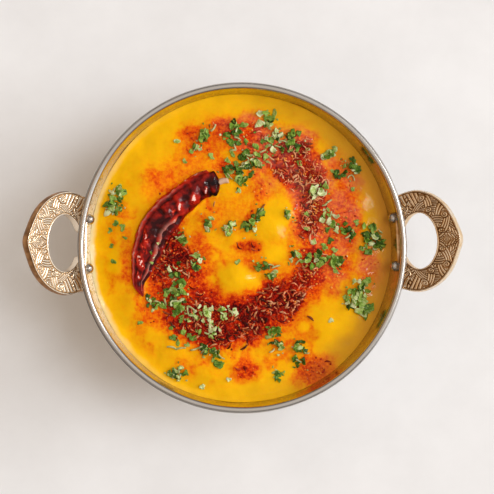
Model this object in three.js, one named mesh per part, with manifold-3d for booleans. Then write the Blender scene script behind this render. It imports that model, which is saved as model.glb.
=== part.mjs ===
// Dal tadka in a round steel kadhai with two cast brass loop handles.
// Millimetres, +Z up, origin on the floor under the middle of the bowl, handles along X.

import * as THREE from 'three';
import { mergeVertices } from 'three/addons/utils/BufferGeometryUtils.js';
import Module from 'manifold-3d';

const wasm = await Module();
wasm.setup();

// ---- driving dimensions -------------------------------------------------------------

const SIDES = 60;               // facets round the bowl and the dal

const BOWL_HEIGHT = 62;
const RIM_RADIUS = 84;          // outside of the rolled rim
const BEAD_RADIUS = 1.7;        // the roll itself
const WALL = 1.2;
const BASE_RADIUS = 45.4;       // edge of the flat bottom
const WALL_STEPS = [0, 0.2, 0.34, 0.48, 0.64, 0.88];    // rings of the outside
const INSIDE_STEPS = [0, 0.24, 0.42, 0.62, 0.88];       // rings of the inside and of the dal
const BEAD_STEPS = 8;
// middle line of the wall, from the edge of the flat base to the middle of the bead
const WALL_LINE = new THREE.CubicBezierCurve(
  new THREE.Vector2(BASE_RADIUS, WALL / 2),
  new THREE.Vector2(61, WALL / 2),
  new THREE.Vector2(70.5, 30),
  new THREE.Vector2(RIM_RADIUS - BEAD_RADIUS, BOWL_HEIGHT - BEAD_RADIUS),
);

const GAP = 0.3;                // between pieces that touch
const DAL_LEVEL = 51.6;         // surface of the dal at the wall, 10 mm under the rim
const DAL_RINGS = 12;

const HANDLE_TURNS = { handle_left: 178.9, handle_right: 2.4 };   // degrees round the bowl
const HANDLE_RISE = 33;         // degrees, the loop climbs outwards
const HANDLE_THICKNESS = 5.5;
const HANDLE_ROOT_RADIUS = 81.5; // the face plane meets the wall here,
const HANDLE_ROOT_HEIGHT = 54.6; // at this height
const LOOP_HALF_WIDTH = 25.8;
const LOOP_WIDEST = 7.8;        // distance from the root to the widest place, along the face
const LOOP_REACH = 32.8;        // root to the outer tip, along the face
const LOOP_POINT = 1.5;         // how far the tip stands out in a soft point
const LOOP_ROOT_HALF_WIDTH = 23.4;
const LOOP_BEVEL = 0.6;
const HOLE_CENTRE = 10.2;
const HOLE_RADII = [10.3, 14.4]; // along the face, across it
const PAD = { halfWidth: 24, bottom: 47.4, top: 57.2, corner: 3.5, thickness: 2 };

const RIVET_ANGLE = 9;          // degrees each side of the handle's middle
const RIVET_HEIGHT = 55.5;
const RIVET_SHANK = 1.5;
const RIVET_TAIL = 4.4;         // how far the shank reaches into the root of the handle
const RIVET_HEAD = { radius: 2.7, height: 2.2 };
const RIVET_SIDES = 8;

const SEED_COUNT = 62;
const SEED = { length: 5.2, width: 1.35 };
const FLAKE_COUNT = 12;
const FLAKE = { length: 3.6, width: 3, thickness: 0.9 };

const CHILLI_STATIONS = 18;
const CHILLI_SIDES = 12;
const CHILLI_HALF_WIDTH = [6.3, 7.6];   // behind the stem end, at the widest place
const CHILLI_TAPER = 0.5;               // share of its length from where it narrows to the tip
const CHILLI_FLATNESS = 0.56;           // height against width
const CHILLI_LIFT = 1.6;                // its middle line over the dal
const CHILLI_BED = 0.5;                 // room round it where it has sunk in
const CHILLI_PATH = [
  [-11.5, 33.4], [-20.9, 31.6], [-30.5, 24.4], [-39, 17.2], [-45.3, 9], [-49.3, -1.5], [-51.8, -11.5],
  [-53, -19], [-50.6, -25],
];

const LEAF_THICKNESS = 0.6;
const LEAF_REST = 0.65;         // underside of a leaf over the dal
const LEAF_POINTS = 9;

// ---- colours -------------------------------------------------------------------------

const STEEL = { color: '#cfc8c0', roughness: 0.22, metalness: 1 };
const BRASS = { color: '#c79a5b', roughness: 0.32, metalness: 1 };
const RIVET_STEEL = { color: '#a59c92', roughness: 0.3, metalness: 1 };
const DAL_YELLOW = { color: '#fcb407', roughness: 0.25, metalness: 0 };
const CHILLI_RED = { color: '#5c0a10', roughness: 0.2, metalness: 0 };
const LEAF_GREEN = { color: '#4f7f2c', roughness: 0.45, metalness: 0 };
const LEAF_PALE = { color: '#9ab078', roughness: 0.45, metalness: 0 };
const LEAF_OLIVE = { color: '#5b5a24', roughness: 0.45, metalness: 0 };

// ---- helpers -------------------------------------------------------------------------

const rad = THREE.MathUtils.degToRad;
const smooth = (a, b, x) => THREE.MathUtils.smoothstep(x, a, b);

// a repeatable row of numbers between 0 and 1
function randomRow(seed) {
  let state = seed;
  return () => {
    state = (state * 16807) % 2147483647;
    return state / 2147483647;
  };
}

// closed skin over rings of equal length, shut by a point at each end
function loft(rings, first, last) {
  const count = rings[0].length;
  const position = [first, ...rings.flat(), last].flatMap((p) => [p.x, p.y, p.z]);
  const end = rings.length * count + 1;
  const at = (ring, i) => 1 + ring * count + (i % count);
  const index = [];
  for (let i = 0; i < count; i += 1) {
    index.push(0, at(0, i + 1), at(0, i));
    for (let ring = 0; ring + 1 < rings.length; ring += 1) {
      index.push(at(ring, i), at(ring, i + 1), at(ring + 1, i + 1));
      index.push(at(ring, i), at(ring + 1, i + 1), at(ring + 1, i));
    }
    index.push(end, at(rings.length - 1, i), at(rings.length - 1, i + 1));
  }
  const geometry = new THREE.BufferGeometry();
  geometry.setAttribute('position', new THREE.Float32BufferAttribute(position, 3));
  geometry.setIndex(index);
  return geometry;
}

function solid(geometry) {
  const bare = geometry.clone();
  bare.deleteAttribute('normal');
  bare.deleteAttribute('uv');
  const merged = mergeVertices(bare, 1e-4);
  const triangles = [];
  for (let i = 0; i < merged.index.count; i += 3) {
    const [a, b, c] = [0, 1, 2].map((k) => merged.index.getX(i + k));
    if (a !== b && b !== c && c !== a) triangles.push(a, b, c);
  }
  return new wasm.Manifold(new wasm.Mesh({
    numProp: 3,
    vertProperties: new Float32Array(merged.attributes.position.array),
    triVerts: new Uint32Array(triangles),
  }));
}

function geometryOf(body) {
  const mesh = body.getMesh();
  const geometry = new THREE.BufferGeometry();
  geometry.setAttribute('position', new THREE.Float32BufferAttribute(mesh.vertProperties, 3));
  geometry.setIndex(Array.from(mesh.triVerts));
  return geometry;
}

// the largest piece, where a cut leaves scraps
function largest(body) {
  const pieces = body.decompose();
  return pieces.reduce((best, piece) => (piece.volume() > best.volume() ? piece : best));
}

function piece(name, geometry, finish) {
  const mesh = new THREE.Mesh(geometry, new THREE.MeshStandardMaterial(finish));
  mesh.name = name;
  return mesh;
}

function turned(profile) {
  const points = profile.map(([r, z]) => new THREE.Vector2(r, z));
  return new THREE.LatheGeometry(points, SIDES).rotateX(Math.PI / 2);
}

// ---- bowl ----------------------------------------------------------------------------

// the wall's middle line moved out (+) or in (-) by a distance
function wallPoint(t, offset) {
  const point = WALL_LINE.getPoint(t);
  const along = WALL_LINE.getTangent(t);
  return [point.x + along.y * offset, point.y - along.x * offset];
}

// the round of the bead, from where the outside of the wall runs into it to the inside
function beadArc(radius, halfWall) {
  const centre = WALL_LINE.getPoint(1);
  const down = WALL_LINE.getTangent(1).negate().angle() - 2 * Math.PI;
  const cut = Math.asin(halfWall / radius);
  const sweep = 2 * Math.PI - 2 * cut;
  return Array.from({ length: BEAD_STEPS + 1 }, (_, i) => {
    const angle = down + cut + (sweep * i) / BEAD_STEPS;
    return [centre.x + radius * Math.cos(angle), centre.y + radius * Math.sin(angle)];
  });
}

function bowlGeometry() {
  const outside = WALL_STEPS.map((t) => wallPoint(t, WALL / 2));
  const inside = INSIDE_STEPS.map((t) => wallPoint(t, -WALL / 2)).reverse();
  return turned([[0, 0], ...outside, ...beadArc(BEAD_RADIUS, WALL / 2), ...inside, [0, WALL]]);
}

// everything from the axis out to a distance beyond the wall: what a fitting must clear
function wallEnvelope(distance) {
  const offset = WALL / 2 + distance;
  const outside = WALL_STEPS.map((t) => wallPoint(t, offset));
  const bead = beadArc(BEAD_RADIUS + distance, offset).filter(([, z]) => z < BOWL_HEIGHT);
  return turned([[0, -distance], ...outside, ...bead, [0, BOWL_HEIGHT + distance]]);
}

// ---- handles -------------------------------------------------------------------------

function loopShape() {
  const outline = [];
  const steps = 22;
  for (let i = 0; i <= steps; i += 1) {
    const angle = rad(-90 + (180 * i) / steps);
    const point = LOOP_POINT * Math.exp(-((angle / rad(13)) ** 2));
    const reach = LOOP_REACH - LOOP_WIDEST - LOOP_POINT + point;
    outline.push(new THREE.Vector2(
      LOOP_WIDEST + reach * Math.cos(angle),
      LOOP_HALF_WIDTH * Math.sin(angle),
    ));
  }
  outline.push(new THREE.Vector2(-4, LOOP_ROOT_HALF_WIDTH), new THREE.Vector2(-4, -LOOP_ROOT_HALF_WIDTH));
  const shape = new THREE.Shape(outline);
  const hole = new THREE.Path();
  hole.absellipse(HOLE_CENTRE, 0, HOLE_RADII[0], HOLE_RADII[1], 0, 2 * Math.PI, true);
  shape.holes.push(hole);
  return shape;
}

// the loop lies in a plane that climbs away from the wall
function loopGeometry() {
  const geometry = new THREE.ExtrudeGeometry(loopShape(), {
    depth: HANDLE_THICKNESS - 2 * LOOP_BEVEL,
    bevelThickness: LOOP_BEVEL,
    bevelSize: LOOP_BEVEL,
    bevelOffset: -LOOP_BEVEL,
    bevelSegments: 1,
    curveSegments: 12,
  });
  geometry.translate(0, 0, LOOP_BEVEL - HANDLE_THICKNESS);
  geometry.rotateY(-rad(HANDLE_RISE));
  return geometry.translate(HANDLE_ROOT_RADIUS, 0, HANDLE_ROOT_HEIGHT);
}

function roundedBar(halfWidth, bottom, top, corner) {
  const shape = new THREE.Shape();
  shape.moveTo(-halfWidth + corner, bottom);
  shape.absarc(halfWidth - corner, bottom + corner, corner, -Math.PI / 2, 0);
  shape.absarc(halfWidth - corner, top - corner, corner, 0, Math.PI / 2);
  shape.absarc(-halfWidth + corner, top - corner, corner, Math.PI / 2, Math.PI);
  shape.absarc(-halfWidth + corner, bottom + corner, corner, Math.PI, 1.5 * Math.PI);
  return shape;
}

// riveting pad: a strip of a cone that lies on the wall
function padSolid() {
  const bar = roundedBar(PAD.halfWidth, PAD.bottom, PAD.top, PAD.corner);
  const block = new THREE.ExtrudeGeometry(bar, {
    depth: RIM_RADIUS + 10, bevelEnabled: false, curveSegments: 3,
  });
  // shape x -> across (Y), shape y -> up (Z), depth -> outwards (X)
  block.applyMatrix4(new THREE.Matrix4().set(0, 0, 1, 0, 1, 0, 0, 0, 0, 1, 0, 0, 0, 0, 0, 1));
  return solid(block).intersect(solid(wallEnvelope(GAP + PAD.thickness)));
}

// wall direction at the rivets: outwards and a little down
function rivetAxis() {
  const along = WALL_LINE.getTangent(0.94);
  return new THREE.Vector3(along.y, 0, -along.x);
}

function rivetPlace(side) {
  const [bottom, top] = [wallPoint(WALL_STEPS.at(-1), 0), beadArc(BEAD_RADIUS, 0)[0]];
  const share = (RIVET_HEIGHT - bottom[1]) / (top[1] - bottom[1]);
  const radius = (bottom[0] + (top[0] - bottom[0]) * share) * Math.cos(Math.PI / SIDES);
  const place = new THREE.Matrix4().makeRotationZ(rad(side * RIVET_ANGLE));
  place.multiply(new THREE.Matrix4().makeTranslation(radius, 0, RIVET_HEIGHT));
  const face = new THREE.Quaternion().setFromUnitVectors(new THREE.Vector3(0, 1, 0), rivetAxis());
  return place.multiply(new THREE.Matrix4().makeRotationFromQuaternion(face));
}

// a domed head inside the bowl and a shank peened blind into the root of the handle;
// local +Y points out of the bowl, the wall's middle is at y = 0
function rivetGeometry(side) {
  const inner = -WALL / 2 - GAP;
  const { radius, height } = RIVET_HEAD;
  const profile = [
    [0, inner - height], [radius * 0.62, inner - height * 0.84], [radius, inner - height * 0.25],
    [radius, inner], [RIVET_SHANK, inner], [RIVET_SHANK, RIVET_TAIL], [0, RIVET_TAIL],
  ];
  const points = profile.map(([r, y]) => new THREE.Vector2(r, y));
  return new THREE.LatheGeometry(points, RIVET_SIDES).applyMatrix4(rivetPlace(side));
}

function rivetHole(side) {
  const length = RIVET_TAIL + GAP + 3;
  const hole = new THREE.CylinderGeometry(RIVET_SHANK + GAP, RIVET_SHANK + GAP, length, RIVET_SIDES);
  hole.translate(0, RIVET_TAIL + GAP - length / 2, 0);
  return solid(hole.applyMatrix4(rivetPlace(side)));
}

function handleGeometry() {
  const clear = solid(wallEnvelope(GAP));
  let body = solid(loopGeometry()).add(padSolid()).subtract(clear);
  for (const side of [-1, 1]) body = body.subtract(rivetHole(side));
  return geometryOf(largest(body));
}

// the bowl's own rivet holes, both handles
function drilledBowl() {
  let body = solid(bowlGeometry());
  for (const turn of Object.values(HANDLE_TURNS)) {
    for (const side of [-1, 1]) body = body.subtract(rivetHole(side).rotate([0, 0, turn]));
  }
  return geometryOf(body);
}

// ---- dal -----------------------------------------------------------------------------

// soft swells that the spoon left: x, y, radius, height
const SWELLS = [
  [-3, -17, 9, 2.3], [14, 4, 11, 1.9], [-1, 24, 12, 1.3], [-22, 15, 9, 1.2], [20, 24, 10, 0.8],
  [46, -36, 15, 1.3], [-52, 43, 17, 1.1], [-62, -22, 14, 0.9], [-6, -60, 15, 1.1], [30, 66, 14, 0.6],
  [66, 10, 10, 0.7], [-34, -50, 12, 0.8], [-12, 66, 12, 0.8],
];
// the channel that the hot oil ran into, round the middle: centre, radius, half width, depth
const CHANNEL = { x: 5, y: 5, radius: 37, halfWidth: 11, depth: 0.9 };
const EDGE_RADIUS = 78.4;       // about where the surface meets the wall
const EDGE_CLIMB = 0.8;         // the dal clings to the wall

function dalHeight(x, y) {
  let height = DAL_LEVEL;
  for (const [cx, cy, radius, rise] of SWELLS) {
    height += rise * Math.exp(-((x - cx) ** 2 + (y - cy) ** 2) / (radius * radius));
  }
  const ring = (Math.hypot(x - CHANNEL.x, y - CHANNEL.y) - CHANNEL.radius) / CHANNEL.halfWidth;
  height -= CHANNEL.depth * Math.exp(-ring * ring);
  height += 0.28 * Math.sin(0.21 * x + 1.4 * Math.sin(0.11 * y)) * Math.cos(0.19 * y + 0.9 * Math.sin(0.13 * x));
  const edge = (Math.hypot(x, y) - EDGE_RADIUS) / 2.2;
  return height + EDGE_CLIMB * Math.exp(-edge * edge);
}

// inside of the wall's facets at a height, less the gap
function dalEdgeRadius(z) {
  const line = INSIDE_STEPS.map((t) => wallPoint(t, -WALL / 2 - GAP));
  line.push(beadArc(BEAD_RADIUS, WALL / 2 + GAP).at(-1));
  for (let i = 0; i + 1 < line.length; i += 1) {
    const [r0, z0] = line[i];
    const [r1, z1] = line[i + 1];
    if (z <= z1) return r0 + ((r1 - r0) * (z - z0)) / (z1 - z0);
  }
  return line.at(-1)[0];
}

function dalGeometry() {
  const ring = (radius, heightAt) => Array.from({ length: SIDES }, (_, i) => {
    const angle = (2 * Math.PI * i) / SIDES;
    const [x, y] = [radius * Math.cos(angle), radius * Math.sin(angle)];
    return new THREE.Vector3(x, y, heightAt(x, y));
  });
  const below = INSIDE_STEPS.map((t) => wallPoint(t, -WALL / 2 - GAP));
  const rings = below.map(([radius, z]) => ring(radius, () => z));
  const edge = dalEdgeRadius(DAL_LEVEL + EDGE_CLIMB);
  rings.push(ring(edge, () => DAL_LEVEL + EDGE_CLIMB));
  for (let k = DAL_RINGS - 1; k > 0; k -= 1) {
    rings.push(ring((EDGE_RADIUS - 1.2) * (k / (DAL_RINGS - 1)) ** 0.9, dalHeight));
  }
  const bottom = new THREE.Vector3(0, 0, WALL + GAP);
  return loft(rings, bottom, new THREE.Vector3(0, 0, dalHeight(0, 0)));
}

// ---- dried chilli --------------------------------------------------------------------

const chilliLine = new THREE.CatmullRomCurve3(
  CHILLI_PATH.map(([x, y]) => new THREE.Vector3(x, y, 0)), false, 'catmullrom', 0.5,
);

// half width along the pod, by the share of its length: blunt at the stem end, drawn to a point at the tip
function chilliHalfWidth(t) {
  const [stem, widest] = CHILLI_HALF_WIDTH;
  const body = stem + (widest - stem) * smooth(0.04, 0.42, t);
  const blunt = Math.sqrt(Math.min(1, t / 0.06 + 0.5));
  const tip = 1 - (Math.max(0, t - CHILLI_TAPER) / (1.01 - CHILLI_TAPER)) ** 2;
  return body * blunt * tip;
}

// the dried wall has fallen in along the top and is pleated along its inner side
function chilliSection(t, angle) {
  const hollow = 0.2 * Math.exp(-(((angle - 1.75) / 0.5) ** 2)) * smooth(0.1, 0.4, t);
  const pleat = 0.1 * Math.exp(-(((angle - 0.75) / 0.3) ** 2)) * smooth(0.2, 0.5, t);
  return 1 - hollow + pleat + 0.05 * Math.sin(9 * t * Math.PI) * Math.sin(angle);
}

// the pod, or the room that it needs: swell is added all round and at both ends
function chilliGeometry(swell) {
  const rings = [];
  const middle = (t) => {
    const point = chilliLine.getPointAt(t);
    point.z = dalHeight(point.x, point.y) + CHILLI_LIFT;
    return point.addScaledVector(chilliLine.getTangentAt(t), swell * (2 * t - 1));
  };
  for (let k = 0; k <= CHILLI_STATIONS; k += 1) {
    const t = 0.012 + (0.976 * k) / CHILLI_STATIONS;
    const centre = middle(t);
    const along = chilliLine.getTangentAt(t);
    const across = new THREE.Vector3(-along.y, along.x, 0);
    const half = chilliHalfWidth(t);
    rings.push(Array.from({ length: CHILLI_SIDES }, (_, i) => {
      const angle = (2 * Math.PI * i) / CHILLI_SIDES;
      const size = half * chilliSection(t, angle) + swell;
      const up = CHILLI_FLATNESS * half * chilliSection(t, angle) + swell;
      return centre.clone()
        .addScaledVector(across, size * Math.cos(angle))
        .add(new THREE.Vector3(0, 0, up * Math.sin(angle)));
    }));
  }
  return loft(rings, middle(0), middle(1));
}

// ---- coriander -----------------------------------------------------------------------

// one leaf: foot x, foot y, length, width, heading in degrees, how far the end lifts
// several leaves of one name grow from the same foot and are one piece
const CORIANDER = [
  ['coriander_far_left', LEAF_GREEN, [-64.5, 24, 9, 8, 75, 1.2], [-64.5, 24, 9, 6.5, 250, 1], [-64.5, 24, 7, 6, 300, 1]],
  ['coriander_top_left', LEAF_GREEN, [-19.5, 53.5, 8, 6, 85, 1.4], [-19.5, 53.5, 6, 4, 215, 0.5]],
  ['coriander_top_a', LEAF_GREEN, [-4, 57.5, 8, 7, 70, 1.5], [-4, 57.5, 6, 5, 190, 0.8]],
  ['coriander_top_b', LEAF_GREEN, [6, 44.5, 8, 7, 20, 1.6], [6, 44.5, 7, 6, 160, 1.5]],
  ['coriander_top_c', LEAF_OLIVE, [-4, 39.5, 7, 6, 175, 0.8], [-4, 39.5, 7, 5, 5, 0.6]],
  ['coriander_top_d', LEAF_GREEN, [0, 36.5, 8, 5, 260, 0.8]],
  ['coriander_top_e', LEAF_PALE, [12, 61, 9, 8, 85, 1.8]],
  ['coriander_top_f', LEAF_PALE, [15.5, 57, 7, 6, 250, 1.2], [15.5, 57, 6, 4, 30, 1]],
  ['coriander_top_right_a', LEAF_GREEN, [25, 52.5, 8, 8, 50, 1.5], [25, 52.5, 6, 5, 200, 0.8]],
  ['coriander_top_right_b', LEAF_PALE, [40, 49, 9, 5, 5, 0.8]],
  ['coriander_top_right_c', LEAF_GREEN, [54.5, 39, 8, 8, 40, 1.5], [54.5, 39, 7, 6, 190, 1]],
  ['coriander_right_a', LEAF_PALE, [38.5, 24.5, 10, 7.5, 80, 1.8]],
  ['coriander_right_b', LEAF_PALE, [41.5, 17.5, 8, 8.5, 325, 1.5]],
  ['coriander_right_c', LEAF_GREEN, [54, 6.5, 7, 6.5, 70, 1.2]],
  ['coriander_right_d', LEAF_GREEN, [67.5, 4.5, 8, 9, 100, 1.8], [67.5, 4.5, 8, 8, 240, 1.5], [67.5, 4.5, 7, 6, 330, 1]],
  ['coriander_right_e', LEAF_GREEN, [60, -24.5, 9, 9, 75, 2], [60, -24.5, 9, 8, 195, 1.4], [60, -24.5, 11, 8, 295, 1.6]],
  ['coriander_middle_a', LEAF_PALE, [28, -7.5, 7, 6, 80, 1]],
  ['coriander_middle_b', LEAF_GREEN, [42, -6.5, 9, 8, 165, 1.4], [42, -6.5, 10, 7, 350, 1.4]],
  ['coriander_middle_c', LEAF_OLIVE, [13, -10.5, 7, 6, 160, 1], [13, -10.5, 6, 4.5, 310, 0.8]],
  ['coriander_middle_d', LEAF_GREEN, [4.5, 13, 7, 8, 225, 1.2], [4.5, 13, 8, 5, 50, 1.2]],
  ['coriander_middle_e', LEAF_PALE, [-5.5, 14.5, 9, 5, 255, 1]],
  ['coriander_middle_f', LEAF_PALE, [-17, 16, 7, 5, 275, 0.8]],
  ['coriander_middle_g', LEAF_PALE, [22, 15.5, 6, 5, 30, 0.8]],
  ['coriander_left_a', LEAF_OLIVE, [-31.5, 2.5, 6, 5, 50, 1]],
  ['coriander_left_b', LEAF_GREEN, [-35.5, -8.5, 7, 6, 290, 1]],
  ['coriander_left_c', LEAF_GREEN, [-21.5, -4, 7, 6, 240, 1]],
  ['coriander_low_left_a', LEAF_GREEN, [-33, -25, 8, 7, 60, 2], [-33, -25, 9, 8, 190, 1.6], [-33, -25, 8, 6, 290, 1.2]],
  ['coriander_low_left_b', LEAF_PALE, [-23, -33, 8.5, 7.5, 345, 1.8], [-23, -33, 6, 4, 210, 0.8]],
  ['coriander_low_left_c', LEAF_PALE, [-11.5, -33, 6.5, 6, 350, 1.2]],
  ['coriander_low_left_d', LEAF_PALE, [-17.5, -40.5, 6.5, 6, 320, 1]],
  ['coriander_low_left_e', LEAF_GREEN, [-46.5, -24, 7, 5, 285, 0.8]],
  ['coriander_low_a', LEAF_GREEN, [-14.5, -51, 6, 4.5, 190, 0.8], [-14.5, -51, 6, 4.5, 300, 0.8]],
  ['coriander_low_b', LEAF_GREEN, [-34, -66.5, 7, 7, 60, 1.4], [-34, -66.5, 6, 5, 190, 0.8]],
  ['coriander_low_c', LEAF_GREEN, [15.5, -47.5, 7, 7, 80, 1.4], [15.5, -47.5, 7, 5, 320, 0.8]],
  ['coriander_low_d', LEAF_GREEN, [29.5, -54.5, 7, 5.5, 100, 1.2], [29.5, -54.5, 7, 5, 280, 1]],
  ['coriander_low_e', LEAF_OLIVE, [15.5, -63.5, 7, 5, 330, 0.5]],
];

function leafSolid([x, y, length, width, heading, lift], phase) {
  const turn = rad(heading);
  const at = (u, v, level) => {
    const px = x + u * Math.cos(turn) - v * Math.sin(turn);
    const py = y + u * Math.sin(turn) + v * Math.cos(turn);
    const rise = lift * Math.max(0, u / length) ** 1.5 + 0.5 * (1 - Math.cos((3 * v) / width + phase)) / 2;
    return new THREE.Vector3(px, py, dalHeight(px, py) + LEAF_REST + rise + level);
  };
  const middle = 0.42 * length;
  const outline = (level) => Array.from({ length: LEAF_POINTS }, (_, i) => {
    const angle = (2 * Math.PI * i) / LEAF_POINTS;
    const lobe = 1 + 0.2 * Math.cos(3 * angle);
    return at(
      middle + 0.5 * length * lobe * Math.cos(angle),
      0.5 * width * lobe * Math.sin(angle),
      level,
    );
  });
  const under = at(middle, 0, 0);
  const over = at(middle, 0, LEAF_THICKNESS);
  return solid(loft([outline(0), outline(LEAF_THICKNESS)], under, over));
}

function corianderGeometry(leaves) {
  let body = null;
  leaves.forEach((leaf, i) => {
    const next = leafSolid(leaf, 1.7 * i);
    body = body === null ? next : body.add(next);
  });
  return geometryOf(largest(body));
}

// ---- tempering: cumin seeds and chilli flakes, fused to the dal ------------------------

// where the oil carried them: centre x, y, radius, from and to angle, spread, share of the whole
const TEMPERING = [
  [5, 3, 37, 235, 330, 7, 0.34],
  [6, 6, 40, 330, 400, 7, 0.2],
  [5, 8, 46, 40, 100, 7, 0.24],
  [-2, 0, 36, 160, 235, 6, 0.12],
  [-25, 58, 3, 0, 360, 4, 0.04],
  [36, -60, 4, 0, 360, 6, 0.06],
];

function clearOfToppings(x, y, reach) {
  for (const [, , ...leaves] of CORIANDER) {
    for (const [lx, ly, length, width, heading] of leaves) {
      const cx = lx + 0.42 * length * Math.cos(rad(heading));
      const cy = ly + 0.42 * length * Math.sin(rad(heading));
      if (Math.hypot(x - cx, y - cy) < 0.6 * Math.max(length, width) + reach) return false;
    }
  }
  for (let t = 0; t <= 1; t += 0.04) {
    const point = chilliLine.getPointAt(t);
    if (Math.hypot(x - point.x, y - point.y) < chilliHalfWidth(t) + 1.2 + reach) return false;
  }
  return Math.hypot(x, y) < EDGE_RADIUS - 3 - reach;
}

function temperingPlaces(count, reach, spacing, seed) {
  const random = randomRow(seed);
  const places = [];
  for (let tries = 0; places.length < count && tries < count * 200; tries += 1) {
    let pick = random();
    const band = TEMPERING.find((entry) => (pick -= entry[6]) < 0) ?? TEMPERING[0];
    const [cx, cy, radius, from, to, spread] = band;
    const angle = rad(from + (to - from) * random());
    const out = radius + spread * (random() + random() - 1);
    const [x, y] = [cx + out * Math.cos(angle), cy + out * Math.sin(angle)];
    const turn = Math.PI * random();
    const alone = places.every((p) => Math.hypot(p.x - x, p.y - y) > spacing);
    if (alone && clearOfToppings(x, y, reach)) places.push({ x, y, turn });
  }
  return places;
}

function seedSolid({ x, y, turn }) {
  const seed = new THREE.SphereGeometry(0.5, 5, 4).rotateZ(Math.PI / 2);
  seed.scale(SEED.length, SEED.width, SEED.width).rotateZ(turn);
  return solid(seed.translate(x, y, dalHeight(x, y) + 0.22));
}

function flakeSolid({ x, y, turn }) {
  const flake = new THREE.CylinderGeometry(0.5, 0.5, 1, 5).rotateX(Math.PI / 2);
  flake.scale(FLAKE.length, FLAKE.width, FLAKE.thickness).rotateY(0.2).rotateZ(turn);
  return solid(flake.translate(x, y, dalHeight(x, y) + 0.2));
}

function dressedDal() {
  const seeds = temperingPlaces(SEED_COUNT, SEED.length / 2, 3.4, 4177);
  const flakes = temperingPlaces(FLAKE_COUNT, FLAKE.length / 2, 6, 911)
    .filter((flake) => seeds.every((seed) => Math.hypot(seed.x - flake.x, seed.y - flake.y) > 4.2));
  let body = solid(dalGeometry()).subtract(solid(chilliGeometry(CHILLI_BED)));
  for (const place of seeds) body = body.add(seedSolid(place));
  for (const place of flakes) body = body.add(flakeSolid(place));
  return geometryOf(largest(body));
}

// ---- the whole -------------------------------------------------------------------------

const whole = new THREE.Group();
whole.add(piece('bowl', drilledBowl(), STEEL));
for (const [name, turn] of Object.entries(HANDLE_TURNS)) {
  const side = new THREE.Group();
  side.rotation.z = rad(turn);
  side.add(piece(name, handleGeometry(), BRASS));
  side.add(piece(`${name}_rivet_a`, rivetGeometry(-1), RIVET_STEEL));
  side.add(piece(`${name}_rivet_b`, rivetGeometry(1), RIVET_STEEL));
  whole.add(side);
}
whole.add(piece('dal', dressedDal(), DAL_YELLOW));
whole.add(piece('dried_chilli', chilliGeometry(0), CHILLI_RED));
for (const [name, finish, ...leaves] of CORIANDER) {
  whole.add(piece(name, corianderGeometry(leaves), finish));
}

export default whole;
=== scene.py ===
"""Dal tadka in a steel kadhai: finishes the bowl, the handles, the dal and what lies on it."""

import math
import bpy
import numpy as np
from bpy.props import FloatProperty, FloatVectorProperty, IntProperty, PointerProperty
from bpy.types import Operator, Panel, PropertyGroup
from mathutils import Matrix, Vector


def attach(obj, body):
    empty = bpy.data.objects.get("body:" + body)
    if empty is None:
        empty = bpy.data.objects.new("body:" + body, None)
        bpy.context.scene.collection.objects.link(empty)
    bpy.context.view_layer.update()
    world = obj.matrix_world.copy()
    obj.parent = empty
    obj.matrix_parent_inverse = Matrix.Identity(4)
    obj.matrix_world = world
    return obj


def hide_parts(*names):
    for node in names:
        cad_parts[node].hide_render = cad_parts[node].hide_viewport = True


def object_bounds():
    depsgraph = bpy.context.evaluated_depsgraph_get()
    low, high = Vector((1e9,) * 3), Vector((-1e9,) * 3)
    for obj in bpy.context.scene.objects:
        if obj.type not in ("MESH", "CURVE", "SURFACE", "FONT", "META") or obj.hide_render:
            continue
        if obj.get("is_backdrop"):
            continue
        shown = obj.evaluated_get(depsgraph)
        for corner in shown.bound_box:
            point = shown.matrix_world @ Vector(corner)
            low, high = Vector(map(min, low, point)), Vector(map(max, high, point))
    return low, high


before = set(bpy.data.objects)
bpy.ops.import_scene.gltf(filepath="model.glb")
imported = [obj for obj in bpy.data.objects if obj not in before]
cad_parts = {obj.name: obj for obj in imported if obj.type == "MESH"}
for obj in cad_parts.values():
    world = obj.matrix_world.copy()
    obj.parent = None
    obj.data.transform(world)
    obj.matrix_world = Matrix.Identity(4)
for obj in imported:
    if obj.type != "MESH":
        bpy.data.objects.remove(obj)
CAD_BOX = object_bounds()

bl_info = {
    "name": "Dal in a kadhai",
    "version": (1, 0, 0),
    "blender": (4, 5, 0),
    "location": "3D View > Sidebar > Dal",
    "description": "Finishes a steel kadhai of dal with tempering, a dried chilli and coriander",
    "category": "Add Mesh",
}

MM = 0.001
TURN = 2 * math.pi


def linear(hex_colour):
    """The linear colour of an sRGB hex value."""
    parts = [int(hex_colour[i : i + 2], 16) / 255 for i in (1, 3, 5)]
    return tuple(c / 12.92 if c <= 0.04045 else ((c + 0.055) / 1.055) ** 2.4 for c in parts)


def rgba(colour):
    """A linear colour with its alpha, from a hex value or a linear colour."""
    return (*(linear(colour) if isinstance(colour, str) else colour), 1.0)


# ---- sizes and places in the frame, in millimetres and degrees -------------------------------

BOWL_HEIGHT = 62.0
RIM_RADIUS = 84.0
BEAD_RADIUS = 1.7
BASE_RADIUS = 45.4
WALL = 1.2
# middle line of the wall, from the edge of the flat base to the middle of the bead
WALL_LINE = np.array([
    (BASE_RADIUS, WALL / 2), (61, WALL / 2), (70.5, 30),
    (RIM_RADIUS - BEAD_RADIUS, BOWL_HEIGHT - BEAD_RADIUS),
])
DAL_LEVEL = 51.6
EDGE_RADIUS = 78.4
# the coriander stays within this radius, clear of the wall
FREE_RADIUS = 75.5

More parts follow.
